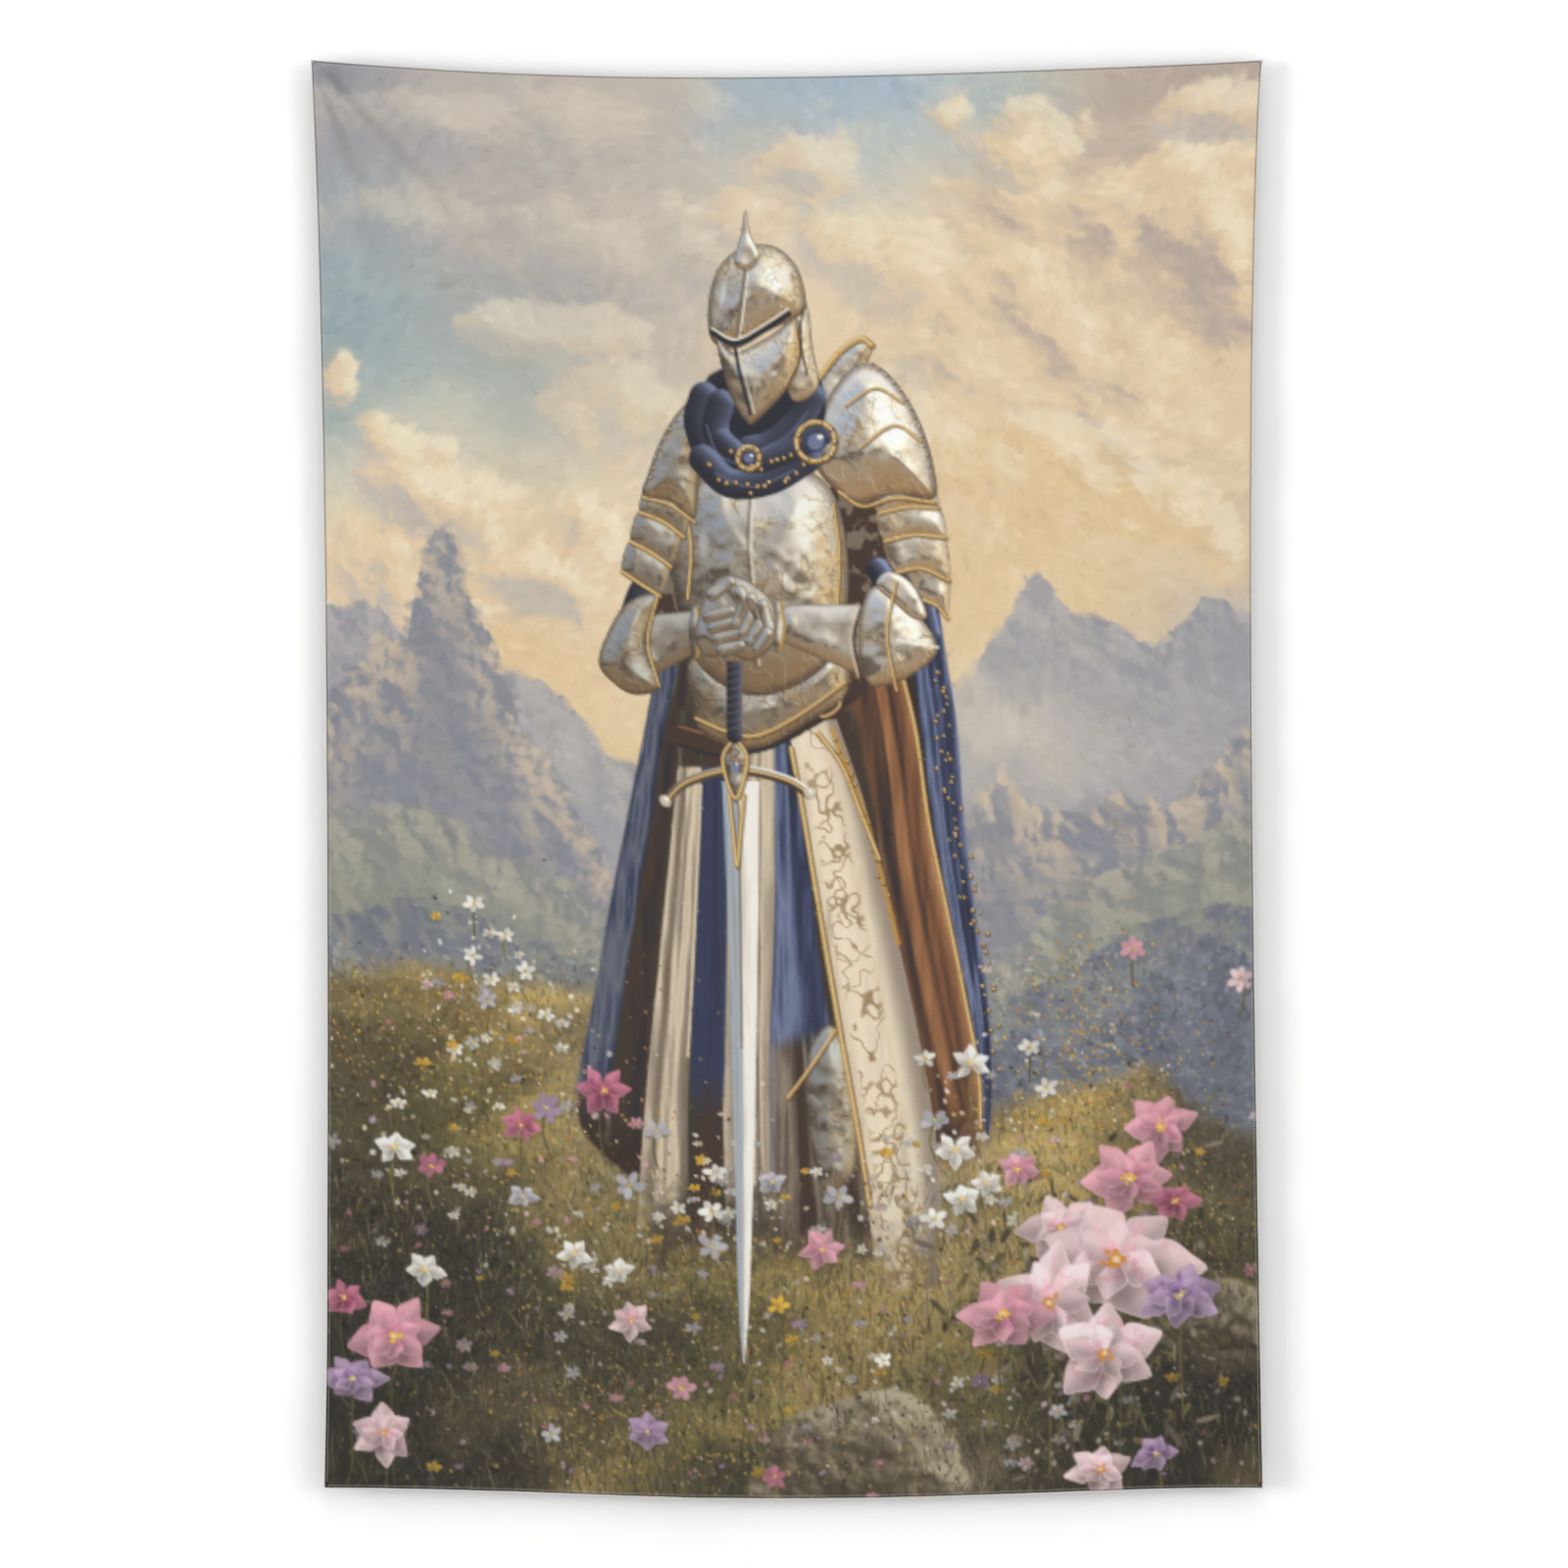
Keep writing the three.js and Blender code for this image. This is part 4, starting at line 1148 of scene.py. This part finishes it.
def hang_by_simulation():
    """Lets a coarse copy of the sheet, with a little slack, hang from its pinned corners."""
    left, top = np.meshgrid(np.linspace(0, CLOTH_WIDTH, SIM_COLUMNS),
                            np.linspace(0, CLOTH_HEIGHT, SIM_ROWS))
    start = on_cloth(left, top, 0.0)
    coarse = add_mesh("coarse_sheet", start, grid_faces(SIM_ROWS, SIM_COLUMNS), None)
    near_pin = np.hypot(np.minimum(left, CLOTH_WIDTH - left), top).ravel() < SIM_HELD
    pinned = coarse.vertex_groups.new(name="pinned")
    pinned.add(np.flatnonzero(near_pin).tolist(), 1.0, "REPLACE")
    cloth = coarse.modifiers.new("hang", "CLOTH")
    cloth.settings.vertex_group_mass = "pinned"
    cloth.settings.quality = 8
    cloth.settings.mass = CLOTH_WEIGHT * CLOTH_WIDTH * CLOTH_HEIGHT / (SIM_ROWS * SIM_COLUMNS)
    cloth.settings.tension_stiffness = cloth.settings.compression_stiffness = 40
    cloth.settings.shear_stiffness = 10
    cloth.settings.bending_stiffness = 0.05
    cloth.settings.air_damping = 6
    cloth.settings.shrink_min = -SIM_SLACK
    cloth.point_cache.frame_start, cloth.point_cache.frame_end = 1, SIM_FRAMES
    scene = bpy.context.scene
    for step in range(1, SIM_FRAMES + 1):
        scene.frame_set(step)
    hanging = coarse.evaluated_get(bpy.context.evaluated_depsgraph_get())
    places = np.empty(len(coarse.data.vertices) * 3)
    hanging.data.vertices.foreach_get("co", places)
    scene.frame_set(1)
    bpy.data.objects.remove(coarse, do_unlink=True)
    moved = start[..., 1] - places.reshape(start.shape)[..., 1]
    free = smooth(np.maximum(np.minimum(left, CLOTH_WIDTH - left), top), SIM_HELD, SIM_FREE)
    capped = SIM_CAP * np.tanh((moved - np.median(moved)) / SIM_CAP)
    return np.where(capped < 0, SIM_DIP * capped, capped) * free


INK_DEPTH = 0.83                   # the ink on the cloth is a little deeper than the painted colours


def colour_layer(piece, name, colours):
    """Stores a colour for each vertex, given as display colours from 0 to 1."""
    linear = np.where(colours <= 0.04045, colours / 12.92, ((colours + 0.055) / 1.055) ** 2.4) * INK_DEPTH
    rgba = np.concatenate([linear, np.ones_like(linear[..., :1])], -1).astype(np.float32)
    layer = piece.data.color_attributes.new(name, "FLOAT_COLOR", "POINT")
    layer.data.foreach_set("color", rgba.ravel())


def flat_map(piece, left, top):
    """A UV map that lays the sheet out flat over the whole square."""
    uv = np.stack([left / CLOTH_WIDTH, 1 - top / CLOTH_HEIGHT], -1).reshape(-1, 2)
    corners = np.empty(len(piece.data.loops), np.int32)
    piece.data.loops.foreach_get("vertex_index", corners)
    layer = piece.data.uv_layers.new(name="OFBake")
    layer.uv.foreach_set("vector", np.clip(uv[corners], 0, 1).astype(np.float32).ravel())


def read_print(picture, left, top):
    """The print's colour at each place on the cloth, blended between its dots."""
    col = np.clip(left * 100 * DOTS - 0.5, 0, COLS - 1.001)
    row = np.clip(top * 100 * DOTS - 0.5, 0, ROWS - 1.001)
    c, r = col.astype(int), row.astype(int)
    u, v = (col - c)[..., None], (row - r)[..., None]
    upper = picture[r, c] * (1 - u) + picture[r, c + 1] * u
    lower = picture[r + 1, c] * (1 - u) + picture[r + 1, c + 1] * u
    return upper * (1 - v) + lower * v


# ======================================================================
# Materials
# ======================================================================
CLOTH_ROUGH, CLOTH_SHEEN = 0.86, dict(Sheen_Weight=0.15, Sheen_Roughness=0.5)
SHOW_THROUGH = 0.16                # how much of the ink shows on the back
SHOW_THROUGH_BLUR = 6              # and how far it spreads, in canvas dots


class Shader:
    """A material's node tree, with short ways to add and join its nodes."""

    def __init__(self, name):
        self.material = bpy.data.materials.new(name)
        self.material.use_nodes = True
        self.nodes = self.material.node_tree.nodes
        self.links = self.material.node_tree.links
        self.surface = self.nodes["Principled BSDF"]
        self.place = self.add("ShaderNodeTexCoord").outputs["Object"]

    def add(self, kind, **settings):
        node = self.nodes.new(kind)
        for key, value in settings.items():
            setattr(node, key, value)
        return node

    def join(self, source, target):
        if isinstance(source, (int, float, tuple)):
            target.default_value = source
        else:
            self.links.new(source, target)

    def math(self, operation, *values):
        node = self.add("ShaderNodeMath", operation=operation)
        for value, socket in zip(values, node.inputs):
            self.join(value, socket)
        return node.outputs[0]

    def scaled(self, colour, share):
        node = self.add("ShaderNodeVectorMath", operation="SCALE")
        self.join(colour, node.inputs[0])
        self.join(share, node.inputs["Scale"])
        return node.outputs[0]

    def stretched(self, x, y, z):
        node = self.add("ShaderNodeMapping")
        self.join(self.place, node.inputs["Vector"])
        node.inputs["Scale"].default_value = (x, y, z)
        return node.outputs[0]

    def noise(self, scale, detail, rough=0.6, vector=None):
        node = self.add("ShaderNodeTexNoise")
        self.join(vector or self.place, node.inputs["Vector"])
        for key, value in (("Scale", scale), ("Detail", detail), ("Roughness", rough)):
            node.inputs[key].default_value = value
        return node.outputs["Fac"]

    def ripple(self, direction, pitch):
        """Parallel ridges, one each pitch along the direction, from 0 to 1."""
        node = self.add("ShaderNodeTexWave", bands_direction=direction)
        self.join(self.place, node.inputs["Vector"])
        wave_scale = 2 * math.pi / (20 * pitch)   # the wave node repeats 20 / (2 pi) times a unit at scale 1
        for key, value in (("Scale", wave_scale), ("Distortion", 0.6), ("Detail", 1.0)):
            node.inputs[key].default_value = value
        return node.outputs["Fac"]

    def shade(self, colour, fac, amount):
        """The colour made darker and lighter by amount as fac goes from 0 to 1."""
        return self.scaled(colour, self.math("MULTIPLY_ADD", fac, amount, 1 - amount / 2))

    def bump(self, *layers):
        """Bumps from (height, strength, distance) layers, one over the other."""
        normal = None
        for height, strength, distance in layers:
            node = self.add("ShaderNodeBump")
            node.inputs["Strength"].default_value = strength
            node.inputs["Distance"].default_value = distance
            self.join(height, node.inputs["Height"])
            if normal is not None:
                self.join(normal, node.inputs["Normal"])
            normal = node.outputs["Normal"]
        self.join(normal, self.surface.inputs["Normal"])

    def finish(self, colour, **sockets):
        self.join(colour, self.surface.inputs["Base Color"])
        for key, value in sockets.items():
            self.join(value, self.surface.inputs[key.replace("_", " ")])
        return self.material


THREAD_PITCH = 0.0009


def woven(shader, colour):
    """Adds the cloth's weave to a colour: crossed threads, slubs and a little unevenness."""
    warp, weft = shader.ripple("X", THREAD_PITCH), shader.ripple("Z", THREAD_PITCH)
    weave = shader.math("MULTIPLY", warp, weft)
    slub = shader.noise(1.0, 2.0, 0.5, shader.stretched(70, 70, 1400))
    pile = shader.noise(1.0, 2.0, 0.5, shader.stretched(1400, 70, 70))
    mottle = shader.noise(45, 4.0)
    colour = shader.shade(colour, weave, 0.10)
    colour = shader.shade(colour, slub, 0.07)
    colour = shader.shade(colour, pile, 0.06)
    colour = shader.shade(colour, mottle, 0.05)
    shader.bump((weave, 0.35, 0.0003), (slub, 0.25, 0.0003), (mottle, 0.15, 0.001))
    return colour


def printed_cloth():
    shader = Shader("printed_cloth")
    ink = shader.add("ShaderNodeAttribute", attribute_name="print").outputs["Color"]
    colour = woven(shader, ink)
    return shader.finish(colour, Roughness=0.82, Sheen_Weight=0.12, Sheen_Roughness=0.45)


def plain_cloth():
    """The white back, with the ink showing faintly through from the front."""
    shader = Shader("cloth_back")
    ink = shader.add("ShaderNodeAttribute", attribute_name="print").outputs["Color"]
    blend = shader.add("ShaderNodeMix", data_type="RGBA")
    blend.inputs["Factor"].default_value = SHOW_THROUGH
    blend.inputs[6].default_value = (0.80, 0.79, 0.76, 1)
    shader.join(ink, blend.inputs[7])
    colour = woven(shader, blend.outputs[2])
    return shader.finish(colour, Roughness=CLOTH_ROUGH, **CLOTH_SHEEN)


def hem_cloth():
    shader = Shader("hem_cloth")
    colour = woven(shader, (0.78, 0.77, 0.74))
    return shader.finish(colour, Roughness=CLOTH_ROUGH, **CLOTH_SHEEN)


def sewing_thread():
    shader = Shader("sewing_thread")
    ply = shader.noise(1.0, 2.0, 0.5, shader.stretched(5200, 5200, 1800))
    colour = shader.shade((0.72, 0.68, 0.60), ply, 0.3)
    shader.bump((ply, 0.5, 0.0002))
    return shader.finish(colour, Roughness=0.6, Sheen_Weight=0.3)


def pin_steel():
    shader = Shader("pin_steel")
    scratch = shader.noise(1.0, 3.0, 0.6, shader.stretched(900, 4000, 900))
    tarnish = shader.noise(600, 3.0)
    colour = shader.shade((0.33, 0.33, 0.35), tarnish, 0.5)
    shader.bump((scratch, 0.2, 0.0001))
    return shader.finish(colour, Metallic=1.0, Roughness=shader.math("MULTIPLY_ADD", tarnish, 0.25, 0.2))


# ======================================================================
# Pieces
# ======================================================================
FRONT_STEP, BACK_STEP = 0.002, 0.0025
LIP = 0.0013                       # how far the rolled edge shows round the print
HEM_OVERLAP = 0.0008               # how far the back runs in under the hem
BUTT_GAP = 0.0004                  # between an upright hem's end and the level hem
NEAR_EDGE = np.array([0, 0.0004, 0.0008, 0.0012, 0.0018, 0.0024, 0.0030, 0.0038])


def lines(length, step, margin):
    """Evenly spaced places along a length, about a step apart."""
    return np.linspace(margin, length - margin, round((length - 2 * margin) / step) + 1)


def lines_fine_at_edges(length, step, margin):
    """The same, but closer together along both edges."""
    inside = margin + NEAR_EDGE[-1] + 0.001
    return np.concatenate([margin + NEAR_EDGE, lines(length, step, inside),
                           length - margin - NEAR_EDGE[::-1]])


def fold_groove_painted_shade(left, top):
    """How much painted shade darkens the print along the groove where it turns over the hem's edge."""
    edge = np.minimum(*from_edge(left, top))
    return (1 - 0.45 * np.exp(-(((edge - LIP) / 0.0011) ** 2)))[..., None]


def build_cloth():
    """The printed front of the sheet and its back, which shows the print faintly."""
    front, left, top = sheet_piece(
        "cloth_front", lines_fine_at_edges(CLOTH_WIDTH, FRONT_STEP, LIP),
        lines_fine_at_edges(CLOTH_HEIGHT, FRONT_STEP, LIP), 0.0, printed_cloth())
    # the print darkened by painted shade along the fold groove at its edge
    colour_layer(front, "print", read_print(CANVAS, left, top) * fold_groove_painted_shade(left, top))
    flat_map(front, left, top)
    under = HEM_WIDTH - HEM_OVERLAP
    back, left, top = sheet_piece(
        "cloth_back", lines(CLOTH_WIDTH, BACK_STEP, under), lines(CLOTH_HEIGHT, BACK_STEP, under),
        CLOTH_THICK, plain_cloth(), flip=True)
    colour_layer(back, "print", read_print(soften(CANVAS, SHOW_THROUGH_BLUR), left, top))
    flat_map(back, left, top)
    return front, back


def ring_faces(rings, sides, flip, first=0):
    """Faces between rings of vertices that are numbered one ring after another, with both ends closed."""
    faces = []
    for start in range(first, first + (rings - 1) * sides, sides):
        for i in range(sides):
            j = (i + 1) % sides
            faces.append((start + i, start + j, start + sides + j, start + sides + i))
    last = first + (rings - 1) * sides
    faces.append(tuple(range(first, first + sides))[::-1])
    faces.append(tuple(range(last, last + sides)))
    return [face[::-1] for face in faces] if flip else faces


# A hem's section: distance in from the edge and depth below the front face, in millimetres,
# from the outermost point of the rolled edge, over its front, inwards, and back along the wall side
HEM_SECTION = [(0.0, 0.75), (0.08, 0.35), (0.45, 0.05), (0.95, 0.12), (1.2, 0.62), (1.7, 0.75), (3.0, 0.72),
               (3.8, 0.86), (4.6, 0.74), (5.1, 0.95), (5.2, 1.3), (4.9, 1.68), (4.3, 1.74), (3.8, 1.5),
               (3.3, 1.72), (2.0, 1.8), (0.8, 1.78), (0.25, 1.45), (0.05, 1.1)]


def hem_piece(name, side, material):
    """One rolled hem, swept along its edge."""
    level = side in ("top", "bottom")
    length = CLOTH_WIDTH if level else CLOTH_HEIGHT
    butt = 0.0 if level else HEM_WIDTH + BUTT_GAP
    run = lines(length, 0.003, butt)
    section = np.array(HEM_SECTION) / 1000
    inward = np.tile(section[:, 0], (len(run), 1))
    depth = np.tile(section[:, 1], (len(run), 1))
    gather = 1 + 0.02 * np.sin(run * 2 * np.pi / GATHER_PITCH) + 0.015 * np.sin(run * 140)
    inward = inward * gather[:, None]
    along = np.tile(run[:, None], (1, len(section)))
    if side in ("bottom", "right"):
        inward = (CLOTH_HEIGHT if level else CLOTH_WIDTH) - inward
    left, top = (along, inward) if level else (inward, along)
    vertices = on_cloth(left, top, depth).reshape(-1, 3)
    faces = ring_faces(len(run), len(section), side in ("top", "right"))
    return add_mesh(name, vertices, faces, material)


STITCH_LENGTH, STITCH_PITCH, STITCH_RADIUS = 0.0024, 0.0030, 0.00017
STITCH_SIDES, STITCH_START = 6, 0.0052
FRONT_STITCH, BACK_STITCH = -0.00008, 0.00176   # how deep the two rows lie below the front face


def stitches(name, side, depth, material):
    """A row of short stitches along one hem, each a rounded thread whose ends dip into the cloth."""
    level = side in ("top", "bottom")
    length = CLOTH_WIDTH if level else CLOTH_HEIGHT
    starts = np.arange(STITCH_START, length - STITCH_START - STITCH_LENGTH, STITCH_PITCH)
    parts = np.array([0.0, 0.12, 0.35, 0.65, 0.88, 1.0])
    thick = np.array([0.25, 0.8, 1.0, 1.0, 0.8, 0.25])
    dip = np.array([0.9, 0.3, 0.0, 0.0, 0.3, 0.9]) * STITCH_RADIUS
    turns = np.linspace(0, 2 * np.pi, STITCH_SIDES, endpoint=False)
    inset = STITCH_INSET if side in ("top",
                                     "left") else (CLOTH_HEIGHT if level else CLOTH_WIDTH) - STITCH_INSET
    outward = -1 if depth < 0 else 1
    along = starts[:, None, None] + parts[None, :, None] * STITCH_LENGTH + 0 * turns
    aside = inset + STITCH_RADIUS * thick[None, :, None] * np.cos(turns) + 0 * along
    deep = depth - outward * dip[None, :,
                                 None] + STITCH_RADIUS * thick[None, :, None] * np.sin(turns) + 0 * along
    left, top = (along, aside) if level else (aside, along)
    vertices = on_cloth(left, top, deep).reshape(-1, 3)
    faces = []
    for stitch in range(len(starts)):
        faces += ring_faces(len(parts), STITCH_SIDES, level, stitch * len(parts) * STITCH_SIDES)
    return add_mesh(name, vertices, faces, material)


# A pin's outline: radius, and distance from the underside of its head towards the wall, in millimetres
PIN_PROFILE = [(0.0, -1.0), (0.5, -0.97), (1.0, -0.86), (1.4, -0.66), (1.62, -0.42), (1.7, -0.2),
               (1.66, -0.04), (1.5, 0.0), (0.66, 0.0), (0.6, 0.08), (0.6, 21.0), (0.56, 21.2), (0.12, 23.8),
               (0.0, 24.0)]
PIN_SIDES, HEAD_HEIGHT = 40, 0.001


def pin_piece(name, node, material):
    """A wall pin turned about the axis of its CAD node: a low domed head and a pointed shaft."""
    low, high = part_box(node)
    centre_x, centre_z = (low[0] + high[0]) / 2, (low[2] + high[2]) / 2
    shoulder = low[1] + HEAD_HEIGHT
    turns = np.linspace(0, 2 * np.pi, PIN_SIDES, endpoint=False)
    inner = PIN_PROFILE[1:-1]
    vertices = [(centre_x, shoulder + PIN_PROFILE[0][1] / 1000, centre_z)]
    for radius, along in inner:
        for turn in turns:
            vertices.append((centre_x + radius / 1000 * math.cos(turn), shoulder + along / 1000,
                             centre_z + radius / 1000 * math.sin(turn)))
    vertices.append((centre_x, shoulder + PIN_PROFILE[-1][1] / 1000, centre_z))
    faces, last = [], len(vertices) - 1
    for i in range(PIN_SIDES):
        j = (i + 1) % PIN_SIDES
        faces.append((0, 1 + i, 1 + j))
        for ring in range(len(inner) - 1):
            a, b = 1 + ring * PIN_SIDES, 1 + (ring + 1) * PIN_SIDES
            faces.append((a + i, b + i, b + j, a + j))
        tail = 1 + (len(inner) - 1) * PIN_SIDES
        faces.append((tail + i, last, tail + j))
    return add_mesh(name, vertices, faces, material)


def build_pieces():
    """Makes every piece, says which body it rides on and hides the CAD node it replaces."""
    front, back = build_cloth()
    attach(front, "cloth")
    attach(back, "cloth")
    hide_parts("printed_panel")
    hem_material, thread_material, pin_material = hem_cloth(), sewing_thread(), pin_steel()
    for side in ("top", "bottom", "left", "right"):
        hem = hem_piece(f"{side}_rolled_hem", side, hem_material)
        needle = stitches(f"{side}_front_stitches", side, FRONT_STITCH, thread_material)
        bobbin = stitches(f"{side}_back_stitches", side, BACK_STITCH, thread_material)
        for piece, node, slot in ((hem, f"{side}_hem", "cloth_back"),
                                  (needle, f"{side}_needle_thread", "thread"),
                                  (bobbin, f"{side}_bobbin_thread", "thread")):
            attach(piece, "cloth")
            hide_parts(node)
    for side in ("left", "right"):
        pin = pin_piece(f"{side}_pin", f"{side}_wall_pin", pin_material)
        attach(pin, f"{side}_pin")
        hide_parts(f"{side}_wall_pin")


# ======================================================================
# Stage: white wall, pale floor, soft light, camera
# ======================================================================
WALL_Y, WALL_HALF_WIDTH, WALL_TOP = 0.024, 4, 3
FLOOR_Z, FLOOR_HALF_WIDTH, FLOOR_HALF_DEPTH = -2.35, 8, 12
LIGHTS = [
    # name, place, size, power in watts
    ("key", (-9.8, -7.2, -0.4), 4.8, 590),
    ("fill", (5.6, -6.2, 0.2), 4.0, 160),
    ("top", (0.6, -6.4, 5.0), 4.0, 90),
    ("behind", (1.5, 4.5, 0.6), 3.0, 320),
]
LIT_POINT, AMBIENT = (0, 0, -0.77), 0.57


def plane(name, corners, material):
    return add_mesh(name, corners, [(0, 1, 2, 3)], material, smooth_faces=False)


def wall_paint():
    """White paint on the front of the wall. Its back lets sight and light through to the cloth.

    It gives little light back to what stands before it, so the soft shadow round the cloth stays deep.
    """
    shader = Shader("wall_paint")
    path = shader.add("ShaderNodeLightPath").outputs
    grain = shader.noise(300, 2.0)
    given_back = shader.math("MULTIPLY_ADD", path["Is Diffuse Ray"], -0.8, 1.0)
    colour = shader.shade((0.98, 0.98, 0.98), grain, 0.01)
    shader.finish(shader.scaled(colour, given_back), Roughness=0.9)
    first = shader.math("LESS_THAN", path["Ray Depth"], 1.5)
    lit = shader.math("MULTIPLY", path["Is Shadow Ray"], first)
    back = shader.add("ShaderNodeNewGeometry").outputs["Backfacing"]
    clear = shader.add("ShaderNodeBsdfTransparent").outputs[0]
    blend = shader.add("ShaderNodeMixShader")
    shader.join(shader.math("MAXIMUM", back, lit), blend.inputs[0])
    shader.join(shader.surface.outputs[0], blend.inputs[1])
    shader.join(clear, blend.inputs[2])
    shader.join(blend.outputs[0], shader.nodes["Material Output"].inputs["Surface"])
    return shader.material


def floor_paint():
    shader = Shader("floor_paint")
    grain = shader.noise(12, 3.0)
    return shader.finish(shader.shade((0.90, 0.89, 0.87), grain, 0.02), Roughness=0.7)


def area_light(name, place, size, power):
    """A square lamp that faces the middle of the cloth."""
    data = bpy.data.lights.new(name, "AREA")
    data.shape, data.size, data.energy = "SQUARE", size, power
    light = bpy.data.objects.new(name, data)
    light.location = place
    way = np.array(LIT_POINT) - np.array(place)
    light.rotation_mode = "QUATERNION"
    light.rotation_quaternion = Vector(way).to_track_quat("-Z", "Y")
    light.visible_camera = False
    bpy.context.scene.collection.objects.link(light)


def build_stage():
    """The wall, the floor, the lamps and the even light of a white studio."""
    wide, deep = WALL_HALF_WIDTH, FLOOR_HALF_DEPTH
    wall = plane("wall", [(-wide, WALL_Y, FLOOR_Z), (wide, WALL_Y, FLOOR_Z), (wide, WALL_Y, WALL_TOP),
                          (-wide, WALL_Y, WALL_TOP)], wall_paint())
    wide = FLOOR_HALF_WIDTH
    floor = plane("floor", [(-wide, -deep, FLOOR_Z), (wide, -deep, FLOOR_Z), (wide, deep, FLOOR_Z),
                            (-wide, deep, FLOOR_Z)], floor_paint())
    for lamp in LIGHTS:
        area_light(*lamp)
    world = bpy.data.worlds.new("studio")
    world.use_nodes = True
    background = world.node_tree.nodes["Background"].inputs
    background["Color"].default_value = (1, 1, 1, 1)
    background["Strength"].default_value = AMBIENT
    bpy.context.scene.world = world


PICTURE_WIDTH = 1.6728             # how much of the wall the picture spans
SENSOR_WIDTH = 36                  # mm
CAMERA_X, CAMERA_Z, CAMERA_DISTANCE = -0.0029, -0.770, 8.0


def build_camera():
    """A camera square to the wall, far enough away for the photo's flat view."""
    data = bpy.data.cameras.new("camera")
    data.sensor_width = SENSOR_WIDTH
    data.lens = SENSOR_WIDTH * CAMERA_DISTANCE / PICTURE_WIDTH
    data.clip_end = 60
    camera = bpy.data.objects.new("camera", data)
    camera.location = (CAMERA_X, -CAMERA_DISTANCE, CAMERA_Z)
    camera.rotation_euler = (math.pi / 2, 0, 0)
    bpy.context.scene.collection.objects.link(camera)
    bpy.context.scene.camera = camera
    bpy.context.scene.view_settings.view_transform = "Standard"


drape_moves = np.zeros((2, 2))
drape_moves = hang_by_simulation()
build_camera()
build_stage()
paint_picture()
build_pieces()
